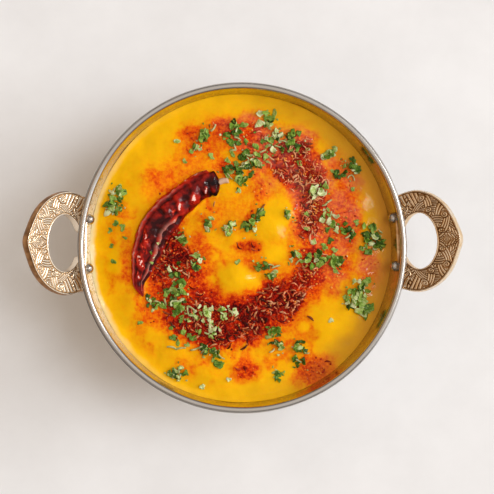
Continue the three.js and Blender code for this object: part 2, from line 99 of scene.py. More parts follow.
HANDLE_TURNS = {"handle_left": 178.9, "handle_right": 2.4}
HANDLE_RISE = 33.0
HANDLE_THICKNESS = 5.5
HANDLE_ROOT = (81.5, 54.6)
LOOP_HALF_WIDTH = 25.8
LOOP_WIDEST = 7.8
LOOP_REACH = 32.8
LOOP_POINT = 1.5
HOLE_CENTRE = 10.2
HOLE_RADII = (10.3, 14.4)
PAD = {"half_width": 24.0, "bottom": 47.4, "top": 57.2, "corner": 3.5, "thickness": 2.0, "bend": 82.0}

RIVET_ANGLE = 9.0
RIVET_HEIGHT = 55.5

CHILLI_PATH = [
    (-11.5, 33.4), (-20.9, 31.6), (-30.5, 24.4), (-39, 17.2), (-45.3, 9), (-49.3, -1.5), (-51.8, -11.5),
    (-53, -19), (-50.6, -25),
]
CHILLI_LENGTH = 79.0
CHILLI_HALF_WIDTH = (6.3, 7.6)
CHILLI_TAPER = 0.5
CHILLI_FLATNESS = 0.56
CHILLI_LIFT = 1.6

# soft swells that the spoon left: x, y, radius, height
SWELLS = [
    (-3, -17, 9, 2.3), (14, 4, 11, 1.9), (-1, 24, 12, 1.3), (-22, 15, 9, 1.2), (20, 24, 10, 0.8),
    (46, -36, 15, 1.3), (-52, 43, 17, 1.1), (-62, -22, 14, 0.9), (-6, -60, 15, 1.1), (30, 66, 14, 0.6),
    (66, 10, 10, 0.7), (-34, -50, 12, 0.8), (-12, 66, 12, 0.8),
]
# the channel that the hot oil ran into: centre x, y, radius, half width, depth
CHANNEL = (5, 5, 37, 11, 0.9)
EDGE_CLIMB = 0.8

# the ring of oil seen from its middle: angle, where it starts, where it ends, how dark it is
OIL_MIDDLE = (5.0, 3.0)
OIL_RING = [
    (2, 21, 37, 0.78), (14, 20, 38, 0.78), (24, 20, 42, 0.78), (36, 25, 50, 0.78), (52, 29, 60, 0.86),
    (65, 32, 62, 0.76), (79, 34, 62, 0.58), (92, 38, 64, 0.6), (104, 46, 67, 0.48), (122, 50, 66, 0.34),
    (140, 40, 60, 0.28), (158, 34, 56, 0.42), (177, 31, 50, 0.8), (194, 26, 54, 0.84), (205, 26, 60, 0.62),
    (217, 27, 62, 0.58), (230, 28, 64, 0.78), (246, 28, 61, 0.88), (258, 26, 57, 0.92), (270, 24, 52, 0.94),
    (285, 20, 48, 0.92), (300, 20, 45, 0.88), (315, 22, 41, 0.84), (329, 23, 44, 0.74), (342, 24, 42, 0.72),
    (352, 24, 39, 0.74),
]
# spilt patches beside the ring: x, y, half length, half width, turn in degrees, how dark
OIL_PATCHES = [
    (-26, 59, 7, 4.5, 10, 0.46), (-10, 64, 10, 3.5, 0, 0.5), (2, -62.5, 8.5, 7, 0, 0.54),
    (38, -62.5, 13, 8, 30, 0.54), (47, -21, 5, 7, 0, 0.36), (3, 0.5, 9, 4.5, 0, 0.54),
    (22, -47, 8, 3, -10, 0.22), (-44, -33, 17, 7, -42, 0.3), (-30, 38, 24, 12, 25, 0.3),
    (66, -10, 9, 13, 0, 0.4), (-21, -2, 7, 16, 10, 0.4), (-58, -6, 5, 20, 5, 0.3),
    (-2, 17, 22, 14, 0, 0.23), (-17, 12, 5, 4, 0, 0.42), (12, 30, 20, 8, 0, 0.24), (34, 13, 7, 10, 0, 0.78),
    (8, -6, 20, 9, 0, 0.26), (27, 2, 5, 18, 0, 0.3), (54, 16, 10, 26, 0, 0.48), (52, 40, 8, 14, 45, 0.42),
    (-8, 41, 9, 6, 0, 0.5), (-21, -16, 6, 8, 0, 0.4), (44, 13, 16, 30, 0, 0.46),
    (47, -8, 14, 10, -25, 0.48),
]
# islands in the ring that stay bare: x, y, half length, half width, turn
OIL_ISLANDS = [(16, 15, 13, 9, 60), (-3.5, -15, 8, 7.5, 0), (17, -3, 6, 5, 0)]

# clusters in the order of their draws: foot x and y, how pale (0 dark, 1 pale: the leaves' tone with
# painted light and shade), and for each leaf its length, width, heading and how far its end lifts
CORIANDER = {
    "far_left": (-64.5, 24, 0.55, [(7, 8, 75, 1.2), (9, 6.5, 250, 1), (7, 6, 300, 1)]),
    "top_left": (-19.5, 53.5, 0.3, [(8, 6, 85, 1.4), (6, 4, 215, 0.5)]),
    "top_a": (-4, 57.5, 0.3, [(8, 7, 70, 1.5), (6, 5, 190, 0.8)]),
    "top_b": (6, 44.5, 0.45, [(8, 7, 20, 1.6), (7, 6, 160, 1.5)]),
    "top_c": (-4, 39.5, 0.2, [(7, 6, 175, 0.8), (7, 5, 5, 0.6)]),
    "top_d": (0, 36.5, 0.3, [(8, 5, 260, 0.8)]),
    "top_e": (12, 61, 0.6, [(9, 8, 85, 1.8)]),
    "top_f": (15.5, 57, 0.75, [(7, 6, 250, 1.2), (6, 4, 30, 1)]),
    "top_right_a": (25, 52.5, 0.3, [(8, 8, 50, 1.5), (6, 5, 200, 0.8)]),
    "top_right_b": (40, 49, 0.85, [(9, 5, 5, 0.8)]),
    "top_right_c": (54.5, 39, 0.3, [(8, 8, 40, 1.5), (7, 6, 190, 1)]),
    "right_a": (38.5, 24.5, 0.75, [(10, 7.5, 80, 1.8)]),
    "right_b": (41.5, 17.5, 0.85, [(8, 8.5, 325, 1.5)]),
    "right_c": (54, 6.5, 0.3, [(7, 6.5, 70, 1.2)]),
    "right_d": (67.5, 4.5, 0.3, [(8, 9, 100, 1.8), (8, 8, 240, 1.5), (7, 6, 330, 1)]),
    "right_e": (60, -24.5, 0.65, [(9, 9, 75, 2), (9, 8, 195, 1.4), (11, 8, 295, 1.6)]),
    "middle_a": (28, -7.5, 0.7, [(7, 6, 80, 1)]),
    "middle_b": (42, -6.5, 0.45, [(9, 8, 165, 1.4), (10, 7, 350, 1.4)]),
    "middle_c": (13, -10.5, 0.45, [(7, 6, 160, 1), (6, 4.5, 310, 0.8)]),
    "middle_d": (4.5, 13, 0.3, [(7, 8, 225, 1.2), (8, 5, 50, 1.2)]),
    "middle_e": (-5.5, 14.5, 0.75, [(9, 5, 255, 1)]),
    "middle_f": (-17, 16, 0.7, [(7, 5, 275, 0.8)]),
    "middle_g": (22, 15.5, 0.55, [(6, 5, 30, 0.8)]),
    "left_a": (-31.5, 2.5, 0.35, [(6, 5, 50, 1)]),
    "left_b": (-35.5, -8.5, 0.3, [(7, 6, 290, 1)]),
    "left_c": (-21.5, -4, 0.3, [(7, 6, 240, 1)]),
    "low_left_a": (-33, -25, 0.45, [(8, 7, 60, 2), (9, 8, 190, 1.6), (8, 6, 290, 1.2)]),
    "low_left_b": (-23, -33, 0.85, [(8.5, 7.5, 345, 1.8), (6, 4, 210, 0.8)]),
    "low_left_c": (-11.5, -33, 0.8, [(6.5, 6, 350, 1.2)]),
    "low_left_d": (-17.5, -40.5, 0.9, [(6.5, 6, 320, 1)]),
    "low_left_e": (-46.5, -24, 0.3, [(7, 5, 285, 0.8)]),
    "low_a": (-14.5, -51, 0.3, [(6, 4.5, 190, 0.8), (6, 4.5, 300, 0.8)]),
    "low_b": (-34, -66.5, 0.3, [(7, 7, 60, 1.4), (6, 5, 190, 0.8)]),
    "low_c": (15.5, -47.5, 0.3, [(7, 7, 80, 1.4), (7, 5, 320, 0.8)]),
    "low_d": (29.5, -54.5, 0.3, [(7, 5.5, 100, 1.2), (7, 5, 280, 1)]),
    "low_e": (15.5, -63.5, 0.35, [(7, 5, 330, 0.5)]),
}
# single bits between the clusters: x, y, size, how pale (tone with painted light and shade); a piece of stalk
# says so
CORIANDER_BITS = [
    (-60.7, 9.8, 3.2, 0.55), (-60, 5.3, 2.4, 0.4), (-65.9, -7, 2.8, 0.45), (-33.6, 54.4, 3.0, 0.8),
    (-25.2, 49.2, 3.0, 0.5), (-5.2, 52.5, 3.4, 0.35), (15.5, 58.9, 3.6, 0.9, "stalk"),
    (34.3, 50.5, 3.4, 0.7), (47.8, 39.5, 3.0, 0.6), (44, 23.4, 3.0, 0.9, "stalk"), (33, 17.6, 3.2, 0.6),
    (33.6, 10.5, 3.0, 0.7), (59.5, 13, 3.2, 0.6), (66.6, 11.1, 3.0, 0.5), (53, -25, 3.0, 0.6),
    (-23.3, -10.9, 3.6, 0.3), (-33.6, -51.6, 5.0, 0.9, "stalk"), (-22, -50.9, 4.6, 0.9, "stalk"),
    (-12.3, -59.3, 5.4, 0.25), (-20.7, -72.3, 3.6, 0.9), (20, -50.3, 3.2, 0.7), (45.3, -37.4, 3.4, 0.95),
    (-6.5, -66.4, 3.0, 1.0), (-3.9, -32.8, 3.6, 0.95), (-1.3, 29.2, 3.2, 0.8), (9.1, 18.2, 4.4, 0.15),
    (23.9, 16.3, 3.4, 0.4), (-1.9, -7.6, 3.2, 0.6), (16.2, -13.4, 3.6, 0.9),
    (-27.8, -29.6, 4.4, 0.9, "stalk"), (-14, -57, 3.0, 0.5), (-27, -45, 3.4, 0.5), (-36, -41, 2.8, 0.4),
    (-52, -38, 2.6, 0.4), (30, 44, 2.8, 0.6), (57, 30, 2.6, 0.6), (-16, 47, 3.0, 0.6), (-30, 44, 2.6, 0.6),
    (48, -12, 3.0, 0.7), (-4, 62, 4, 0.5), (-1, 59, 4, 0.2), (-6, 54, 4.5, 0.3), (-2, 53, 4.5, 0.15),
    (2, 50, 4, 0.3), (-5, 49, 4, 0.5), (0, 47, 4.5, 0.2), (3, 42, 4.5, 0.1), (-3, 43, 4, 0.4),
    (-7, 38, 3.5, 0.6), (5, 38, 4, 0.2), (-1, 33, 3.5, 0.3), (2, 55, 3.5, 0.4), (-7, 45, 3, 0.6),
    (7, 52, 3.5, 0.5), (9, 48, 3, 0.3), (11, 55, 3.5, 0.35), (-30, -43, 3.5, 0.4), (-25, -46, 4, 0.3),
    (-22, -43, 3.5, 0.5), (-28, -49, 3, 0.6), (44, 9, 3.5, 0.3), (47, 12, 3.5, 0.4), (46, 4, 4, 0.2),
    (43, 1, 3.5, 0.5), (48, 0, 3, 0.6), (1, 44, 3, 0.9, "stalk"), (-3, 50, 3.4, 0.9, "stalk"),
    (4, 47, 3, 0.9, "stalk"), (-35, -21, 4, 0.3), (-32, -22, 4, 0.55), (-34, -18, 3.5, 0.2),
    (-30, -19, 3.5, 0.4), (-34, -33, 4, 0.3), (-31, -36, 3.5, 0.5), (-35, -45, 4, 0.35),
    (-33, -48, 3.5, 0.5), (46, 13, 3.6, 0.85), (48.5, 9.5, 3.4, 0.9), (37, 3, 3.4, 0.9),
    (-64, 11.5, 3.4, 0.3), (-67, 8.5, 3, 0.5), (-66.5, 1, 2.4, 0.4),
]
# bits that fell on the chilli: x, y, size, how pale (tone with painted light and shade)
CHILLI_BITS = [
    (-43.2, 1.8, 2.6, 0.8), (-46.8, -2.9, 2.4, 0.45), (-46.6, -7.8, 3.0, 0.6), (-45.5, -5.4, 1.8, 0.9),
]
# where the random draws start: for the first cluster of coriander, its single bits and the crumbs' shape
CLUSTER_SEED = 500
BITS_SEED = 900
CRUMB_SEED = 17


# ---- settings a user would change ------------------------------------------------------------


def colour_setting(name, description, hex_colour):
    shade = linear(hex_colour)
    return FloatVectorProperty(name=name, description=description, subtype="COLOR", default=shade)


def length_setting(name, description, millimetres):
    return FloatProperty(name=name, description=description, unit="LENGTH", default=millimetres * MM)


class KADHAI_PG_steel(PropertyGroup):
    """The bowl and its rivets."""

    sides: IntProperty(name="Sides", description="Facets round the spun bowl", default=240, min=48)
    steel: colour_setting("Steel", "Colour of the polished steel", "#DAD4CE")
    head_radius: length_setting("Rivet head", "Radius of a rivet head", 2.7)
    head_height: length_setting("Head height", "How far a rivet head stands out", 2.4)


class KADHAI_PG_brass(PropertyGroup):
    """The cast handles."""

    stations: IntProperty(name="Stations", description="Steps along the loop", default=420, min=60)
    across: IntProperty(name="Across", description="Steps across the engraved face", default=64, min=16)
    relief: length_setting("Relief", "Depth of the engraving", 0.36)
    line: length_setting("Line", "Half width of a cut line", 0.27)
    bright: colour_setting("Bright brass", "Colour of the rubbed brass", "#F0D2A6")
    dark: colour_setting("Tarnish", "Colour in the recesses", "#54300F")


class KADHAI_PG_dal(PropertyGroup):
    """The dal and the oil on it."""

    cells: IntProperty(name="Cells", description="Cells across the surface", default=268, min=40)
    grain: length_setting("Grain", "Height of the soft lentil lumps", 0.16)
    yellow: colour_setting("Dal", "Colour of the bare dal", "#FBBC08")
    orange: colour_setting("Thin oil", "Dal stained by the oil", "#F48606")
    red: colour_setting("Oil", "Chilli oil in a deeper layer", "#C42A06")
    maroon: colour_setting("Deep oil", "Chilli oil where it pools", "#480505")


class KADHAI_PG_tempering(PropertyGroup):
    """Cumin, chilli strands and crumbs, with the most of each to a square metre."""

    seed_length: length_setting("Seed", "Length of a cumin seed", 4.6)
    seed_width: length_setting("Width", "Width of a cumin seed", 1.2)
    strand_length: length_setting("Strand", "Length of a chilli strand", 4.2)
    strand_width: length_setting("Strand width", "Width of a chilli strand", 0.8)
    seed_density: FloatProperty(name="Seeds", description="Cumin seeds to a square metre", default=130000.0)
    strand_density: FloatProperty(
        name="Strands", description="Chilli strands to a square metre", default=420000.0
    )
    crumb_density: FloatProperty(name="Crumbs", description="Crumbs to a square metre", default=420000.0)
    seed: IntProperty(name="Draw", description="Start of the random draw", default=7)


class KADHAI_PG_chilli(PropertyGroup):
    """The dried chilli."""

    stations: IntProperty(name="Stations", description="Steps along the pod", default=380, min=20)
    sides: IntProperty(name="Sides", description="Steps round the pod", default=144, min=12)
    skin: colour_setting("Skin", "Colour of the dried skin", "#B21C0C")


class KADHAI_PG_coriander(PropertyGroup):
    """Chopped coriander."""

    # the dark colour paints the shade under and between the scraps, the pale one the light on their upper
    # sides
    dark: colour_setting("Dark leaf", "Shaded side of a leaf", "#2C480C")
    pale: colour_setting("Pale leaf", "Dry upper side of a leaf", "#DEE2AE")
    stalk: colour_setting("Stalk", "Cut stalk", "#C9C48C")
    thickness: length_setting("Thickness", "Leaf thickness", 0.28)


class KADHAI_PG_stage(PropertyGroup):
    """Floor, lights and camera."""

    floor: colour_setting("Floor", "Colour of the table top", "#E9EBED")
    distance: length_setting("Distance", "Camera to rim", 1100)
    # painted light: the table top glows faintly warm to lighten its shadows
    glow: FloatProperty(name="Glow", description="Warm light scattered in the table top", default=0.08)
    key: FloatProperty(name="Key light", description="Power of the window light, in watts", default=43.5)
    glint: FloatProperty(name="Glint", description="Power of the high lamp, in watts", default=28.0)
    panel: FloatProperty(name="Panel", description="Power of the soft panel, in watts", default=27.0)


# ---- helpers -----------------------------------------------------------------------------------


def smooth(low, high, value):
    """0 below low, 1 above high, soft between them."""
    share = np.clip((np.asarray(value, float) - low) / (high - low), 0, 1)
    return share * share * (3 - 2 * share)


def lattice(x, y, bump, seed):
    """Soft noise between -1 and 1 with one bump every `bump` millimetres."""
    table = np.random.RandomState(seed).uniform(-1, 1, (256, 256))
    gx, gy = np.asarray(x, float) / bump + 100.5, np.asarray(y, float) / bump + 100.5
    ix, iy = np.floor(gx).astype(int), np.floor(gy).astype(int)
    fx, fy = gx - ix, gy - iy
    fx, fy = fx * fx * (3 - 2 * fx), fy * fy * (3 - 2 * fy)
    corner = lambda i, j: table[(ix + i) % 256, (iy + j) % 256]
    low = corner(0, 0) * (1 - fx) + corner(1, 0) * fx
    high = corner(0, 1) * (1 - fx) + corner(1, 1) * fx
    return low * (1 - fy) + high * fy


def rough(x, y, bump, seed, layers=3):
    """Several layers of soft noise, each half as wide and half as strong as the last."""
    total = sum(lattice(x, y, bump / 2**k, seed + k) / 2**k for k in range(layers))
    return total / (2 - 2 ** (1 - layers))


def new_mesh(name, points, faces, attributes=None, uv=None):
    """A smooth mesh object from points in millimetres, with point attributes and a UV for each point."""
    mesh = bpy.data.meshes.new(name)
    mesh.from_pydata((np.asarray(points, float) * MM).tolist(), [], [tuple(map(int, f)) for f in faces])
    for key, values in (attributes or {}).items():
        layer = mesh.attributes.new(key, "FLOAT", "POINT")
        layer.data.foreach_set("value", np.asarray(values, np.float32))
    if uv is not None:
        layer = mesh.uv_layers.new(name="surface")
        corners = np.empty(len(mesh.loops), np.int32)
        mesh.loops.foreach_get("vertex_index", corners)
        layer.data.foreach_set("uv", np.asarray(uv, np.float32)[corners].ravel())
    mesh.shade_smooth()
    mesh.validate()
    piece = bpy.data.objects.new(name, mesh)
    bpy.context.scene.collection.objects.link(piece)
    return piece


def tube_faces(rings, count):
    """Quads of a skin over rings of `count` points; the last ring isn't joined to the first."""
    index = np.arange(rings * count).reshape(rings, count)
    after = np.roll(index, -1, axis=1)
    return np.stack([index[:-1], after[:-1], after[1:], index[1:]], -1).reshape(-1, 4)


def cap_faces(ring, apex):
    """Triangles from a ring of point numbers to one apex."""
    return np.stack([ring, np.roll(ring, -1), np.full(len(ring), apex)], -1)


def shell_faces(rings, count, turned_over=False):
    """Faces of a skin over rings, closed by fans to the two end points that follow the rings."""
    total = rings * count
    faces = [*tube_faces(rings, count), *cap_faces(np.arange(count), total)[:, ::-1]]
    faces += [*cap_faces(np.arange(total - count, total), total + 1)]
    return [face[::-1] for face in faces] if turned_over else faces


def hump(offset, width=1.0):
    """A soft hump: 1 in its middle, falling to about a third at its width."""
    return np.exp(-((offset / width) ** 2))


def round_points(radius, angle, z):
    """Points at a radius and an azimuth, at height z."""
    x = radius * np.cos(angle)
    return np.stack([x, radius * np.sin(angle), np.broadcast_to(z, x.shape)], -1)


def travelled(line):
    """How far along a line of points each one lies."""
    return np.concatenate([[0], np.cumsum(np.hypot(*np.diff(line, axis=0).T))])


def oval(x, y, cx, cy, long, wide, turn):
    """How far out each spot lies in an oval, 1 at its edge; turn in degrees."""
    c, s = math.cos(math.radians(turn)), math.sin(math.radians(turn))
    return np.hypot(((x - cx) * c + (y - cy) * s) / long, (-(x - cx) * s + (y - cy) * c) / wide)


def keep(piece, slot, *nodes):
    """Fastens a finished piece to the bowl's body, in place of the given nodes."""
    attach(piece, "root")
    if nodes:
        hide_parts(*nodes)
    return piece


def add(tree, kind, inputs=None, stops=(), **settings):
    """Adds a node with its plain settings, gives each named input a value or an output to read, where a
    node stands for its first output in use, and sets a colour ramp's (position, colour) stops."""
    node = tree.nodes.new(kind)
    for key, value in settings.items():
        setattr(node, key, value)
    for key, value in (inputs or {}).items():
        if isinstance(value, bpy.types.Node):
            value = next(output for output in value.outputs if output.enabled)
        if isinstance(value, bpy.types.NodeSocket):
            tree.links.new(value, node.inputs[key])
        else:
            node.inputs[key].default_value = value
    for _ in stops[2:]:
        node.color_ramp.elements.new(0.5)
    for (position, colour), element in zip(stops, node.color_ramp.elements if stops else ()):
        element.position = position
        element.color = rgba(colour)
    return node


def patches(tree, place, size, low, high, start=0.3, end=0.7, **noise):
    """A value that wanders from low to high over soft patches of a size in millimetres."""
    cloud = add(
        tree, "ShaderNodeTexNoise", {"Vector": place, "Scale": 1 / (size * MM), "Detail": 3.0, **noise},
    )
    return add(
        tree, "ShaderNodeMapRange",
        {"Value": cloud, "From Min": start, "From Max": end, "To Min": low, "To Max": high},
    )


def new_material(name):
    """An empty material: returns it, its tree and the object coordinates that its patterns lie on."""
    material = bpy.data.materials.new(name)
    material.use_nodes = True
    tree = material.node_tree
    tree.nodes.clear()
    return material, tree, add(tree, "ShaderNodeTexCoord").outputs["Object"]


# ---- bowl ----------------------------------------------------------------------------------------


def wall_point(t, offset):
    """A point of the wall's middle line, moved out (+) or in (-), as (radius, height)."""
    p0, p1, p2, p3 = WALL_LINE
    s = 1 - t
    point = s**3 * p0 + 3 * s * s * t * p1 + 3 * s * t * t * p2 + t**3 * p3
    along = 3 * s * s * (p1 - p0) + 6 * s * t * (p2 - p1) + 3 * t * t * (p3 - p2)
    along = along / np.hypot(*along)
    return point + offset * np.array([along[1], -along[0]])


def wall_radius(z, offset):
    """Radius of the wall at a height, for the outside (+) or the inside (-)."""
    line = np.array([wall_point(t, offset) for t in np.linspace(0, 1, 60)])
    return np.interp(z, line[:, 1], line[:, 0])


def bead_arc(radius, half_wall, steps):
    """The round of the rolled rim, from the outside of the wall over the top to the inside."""
    along = wall_point(1, 0) - wall_point(0.99, 0)
    down = math.atan2(-along[1], -along[0])
    cut = math.asin(half_wall / radius)
    angles = down + np.linspace(cut, TURN - cut, steps)
    return wall_point(1, 0) + radius * np.stack([np.cos(angles), np.sin(angles)], -1)


def spun(profile, sides):
    """Points and faces of a profile turned about Z; its first and last points lie on the axis."""
    turn = np.linspace(0, TURN, sides, endpoint=False)
    rings = [round_points(r, turn, z) for r, z in profile[1:-1]]
    points = np.concatenate(rings + [[(0, 0, profile[0][1]), (0, 0, profile[-1][1])]])
    return points, shell_faces(len(rings), sides)


def polished_steel(settings):
    """Stainless steel sheet spun over a form and buffed: clear reflections, faint turning lines
    that stretch the highlights round the bowl. The lines are drawn 0.5 mm apart so that they show."""
    material, tree, place = new_material("buffed_stainless_steel")
    split = add(tree, "ShaderNodeSeparateXYZ", {"Vector": place})
    squares = [add(tree, "ShaderNodeMath", {0: split.outputs[k], 1: 2.0}, operation="POWER") for k in "XY"]
    total = add(tree, "ShaderNodeMath", {0: squares[0], 1: squares[1]}, operation="ADD")
    radius = add(tree, "ShaderNodeMath", {0: total}, operation="SQRT")
    height = add(tree, "ShaderNodeMath", {0: split.outputs["Z"], 1: 1.3}, operation="MULTIPLY")
    travel = add(tree, "ShaderNodeMath", {0: radius, 1: height}, operation="ADD")
    lines = add(
        tree, "ShaderNodeTexNoise",
        {"W": travel, "Scale": 1 / (0.5 * MM), "Detail": 4.0, "Roughness": 0.7}, noise_dimensions="1D",
    )
    gloss = patches(tree, place, 14, 0.1, 0.2)
    bump = add(tree, "ShaderNodeBump", {"Height": lines, "Strength": 0.04, "Distance": 0.05 * MM})
    # the rolled rim is painted darker towards its outer side, as painted shade, and is rougher there
    dull_and_shade = add(tree, "ShaderNodeAttribute", attribute_name="dull_and_shade").outputs["Fac"]
    metal = add(
        tree, "ShaderNodeValToRGB",
        {"Fac": dull_and_shade}, stops=[(0.0, settings.steel), (0.5, "#B8B2AC"), (1.0, "#4E4741")],
    )
    rougher = add(tree, "ShaderNodeMath", {0: dull_and_shade, 1: 0.38, 2: gloss}, operation="MULTIPLY_ADD")
    shader = add(
        tree, "ShaderNodeBsdfPrincipled",
        {"Base Color": metal, "Metallic": 1.0, "Roughness": rougher, "Normal": bump},
    )
    # what the dal and the oil left on the inner wall: a thin dried film with lines in it, painted cream on
    # the lit left and brown on the shaded right: painted light and shade
    film = add(tree, "ShaderNodeAttribute", attribute_name="film").outputs["Fac"]
    pale = add(tree, "ShaderNodeAttribute", attribute_name="pale").outputs["Fac"]
    torn = patches(tree, place, 2.2, 0.25, 1.0, 0.38, 0.5, Distortion=1.5)
    cover = add(tree, "ShaderNodeMath", {0: film, 1: torn}, operation="MULTIPLY")
    tone = add(tree, "ShaderNodeValToRGB", {"Fac": pale}, stops=[(0.0, "#9C6A1E"), (1.0, "#E9DAB8")])
    dried = add(
        tree, "ShaderNodeBsdfPrincipled", {"Base Color": tone, "Roughness": 0.5, "Specular IOR Level": 0.2},
    )
    both = add(tree, "ShaderNodeMixShader", {0: cover, 1: shader, 2: dried})
    add(tree, "ShaderNodeOutputMaterial", {"Surface": both})
    return material


class KADHAI_OT_bowl(Operator):
    """Spin the steel bowl with its rolled rim"""

    bl_idname = "kadhai.bowl"
    bl_label = "Bowl"

    def execute(self, context):
        settings = context.scene.kadhai_steel
        steps = np.concatenate([np.linspace(0, 0.7, 16), np.linspace(0.72, 0.965, 26)])
        outside = [wall_point(t, WALL / 2) for t in steps]
        inside = [wall_point(t, -WALL / 2) for t in steps[::-1]]
        profile = [(0, 0), (BASE_RADIUS * 0.5, 0), *outside]
        profile += [*bead_arc(BEAD_RADIUS, WALL / 2, 26), *inside, (BASE_RADIUS * 0.5, WALL), (0, WALL)]
        points, faces = spun(profile, settings.sides)
        x, y, z = points.T
        turn = np.arctan2(y, x)
        inside = np.hypot(x, y) < wall_radius(z, 0)
        # the film lies mostly on the left; `pale` paints it cream there, where the light falls, and brown on
        # the shaded right: painted light and shade
        left = hump(turn % TURN - math.radians(186), math.radians(38))
        line = rough(80 * np.cos(turn), 80 * np.sin(turn), 9, 161)
        film = (0.35 + 0.6 * left) * smooth(58.5 + 1.5 * left, 54.5 + 2 * left, z + 1.5 * line) * inside
        # the rolled rim is painted darker and made rougher towards its outer side, darkest right at the edge
        # on
        # the lower left: painted shade
        out = (np.hypot(x, y) - (RIM_RADIUS - BEAD_RADIUS)) / BEAD_RADIUS
        bead = smooth(57, 59, z)
        right = hump(turn, math.radians(75))
        lower = hump(turn % TURN - math.radians(205), math.radians(75))
        outer = (0.16 + 0.12 * right) * smooth(-0.4, 0.5, out)
        dull_and_shade = bead * (0.12 + outer + 0.65 * lower * smooth(0.5, 0.95, out))
        bowl = new_mesh("steel_bowl", points, faces, {"film": film, "pale": left, "dull_and_shade": dull_and_shade})
        bowl.data.materials.append(polished_steel(settings))
        keep(bowl, "bowl_steel", "bowl")
        return {"FINISHED"}


# ---- rivets --------------------------------------------------------------------------------------


def rivet_template(settings):
    """One rivet along +Z: a domed head with a struck flat, a rim and a short shank."""
    radius, height = settings.head_radius / MM, settings.head_height / MM
    dome = [(radius * math.sin(a), height * math.cos(a)) for a in np.linspace(0.25, math.pi / 2, 9)]
    shank = radius * 0.6
    profile = [(0, height * 0.96), *dome, (radius, -1.1), (shank, -1.1), (shank, -4.5), (0, -4.5)]
    points, faces = spun(profile[::-1], 28)
    return new_mesh("rivet_template", points, faces)


def new_tree(name, inputs):
    """A geometry tree that takes a mesh and other named inputs: returns it and its entry node."""
    tree = bpy.data.node_groups.new(name, "GeometryNodeTree")
    for label, kind in {"Geometry": "Geometry", **inputs}.items():
        tree.interface.new_socket(label, in_out="INPUT", socket_type=f"NodeSocket{kind}")
    tree.interface.new_socket("Geometry", in_out="OUTPUT", socket_type="NodeSocketGeometry")
    return tree, add(tree, "NodeGroupInput")


def ended(tree, copies, material):
    """Ends a tree with its copies made real and their material set."""
    real = add(tree, "GeometryNodeRealizeInstances", {"Geometry": copies})
    finish = add(tree, "GeometryNodeSetMaterial", {"Geometry": real, "Material": material})
    add(tree, "NodeGroupOutput", {"Geometry": finish})
    return tree


def rivet_tree(template, material):
    """Puts the template on each point of a mesh, along that point's normal."""
    tree, entry = new_tree("rivets_on_points", {"Size": "Float"})
    model = add(tree, "GeometryNodeObjectInfo", {"Object": template})
    out = add(tree, "GeometryNodeInputNamedAttribute", {"Name": "out"}, data_type="FLOAT_VECTOR")
    turn = add(tree, "FunctionNodeAlignRotationToVector", {"Vector": out}, axis="Z")
    heads = add(
        tree, "GeometryNodeInstanceOnPoints",
        {
            "Points": entry.outputs["Geometry"], "Instance": model.outputs["Geometry"], "Rotation": turn,
            "Scale": entry.outputs["Size"],
        },
    )
    return ended(tree, heads, material)


def grown(host, tree, name, values):
    """Runs a tree on a host mesh and returns the result as a plain mesh object; the host goes."""
    modifier = host.modifiers.new(name, "NODES")
    modifier.node_group = tree
    for item in tree.interface.items_tree:
        if item.in_out == "INPUT" and item.name in values:
            modifier[item.identifier] = values[item.name]
    host.update_tag()
    ready = host.evaluated_get(bpy.context.evaluated_depsgraph_get())
    mesh = bpy.data.meshes.new_from_object(ready)
    mesh.name = name
    piece = bpy.data.objects.new(name, mesh)
    bpy.context.scene.collection.objects.link(piece)
    host.modifiers.remove(modifier)
    bpy.data.objects.remove(host)
    return piece


def peened_steel():
    """Mild steel rivet, hammered over: duller than the bowl, with small dents about 1 mm across."""
    material, tree, place = new_material("hammered_steel_rivet")
    dents = add(tree, "ShaderNodeTexVoronoi", {"Vector": place, "Scale": 1 / (1.0 * MM)})
    bump = add(tree, "ShaderNodeBump", {"Height": dents, "Strength": 0.35, "Distance": 0.15 * MM})
    tone = add(tree, "ShaderNodeValToRGB", {"Fac": dents}, stops=[(0, "#8C8178"), (0.8, "#D8CFC6")])
    shader = add(
        tree, "ShaderNodeBsdfPrincipled",
        {"Base Color": tone, "Metallic": 1.0, "Roughness": 0.26, "Normal": bump},
    )
    add(tree, "ShaderNodeOutputMaterial", {"Surface": shader})
    return material


class KADHAI_OT_rivets(Operator):
    """Set two rivet heads inside the wall at each handle"""

    bl_idname = "kadhai.rivets"
    bl_label = "Rivets"

    def execute(self, context):
        settings = context.scene.kadhai_steel
        inner = wall_radius(RIVET_HEIGHT, -WALL / 2) - 0.9
        slope = wall_point(0.95, 0) - wall_point(0.93, 0)
        lean = math.atan2(slope[0], slope[1])
        material = peened_steel()
        template = rivet_template(settings)
        tree = rivet_tree(template, material)
        for handle, turn in HANDLE_TURNS.items():
            for letter, side in (("a", -1), ("b", 1)):
                angle = math.radians(turn + side * RIVET_ANGLE)
                spot = (inner * math.cos(angle), inner * math.sin(angle), RIVET_HEIGHT)
                level = -math.cos(lean)
                inward = (level * math.cos(angle), level * math.sin(angle), math.sin(lean))
                host = new_mesh("rivet_spot", [spot], [])
                layer = host.data.attributes.new("out", "FLOAT_VECTOR", "POINT")
                layer.data[0].vector = inward
                name = f"{handle}_rivet_head_{letter}"
                rivet = grown(host, tree, name, {"Size": 1.0})
                keep(rivet, "rivet_steel", f"{handle}_rivet_{letter}")
        bpy.data.objects.remove(template)
        return {"FINISHED"}


# ---- handles -------------------------------------------------------------------------------------


def even_steps(curve, count):
    """The curve resampled to even steps along its length."""
    travel = travelled(curve)
    want = np.linspace(0, travel[-1], count)
    return np.stack([np.interp(want, travel, curve[:, k]) for k in (0, 1)], -1)


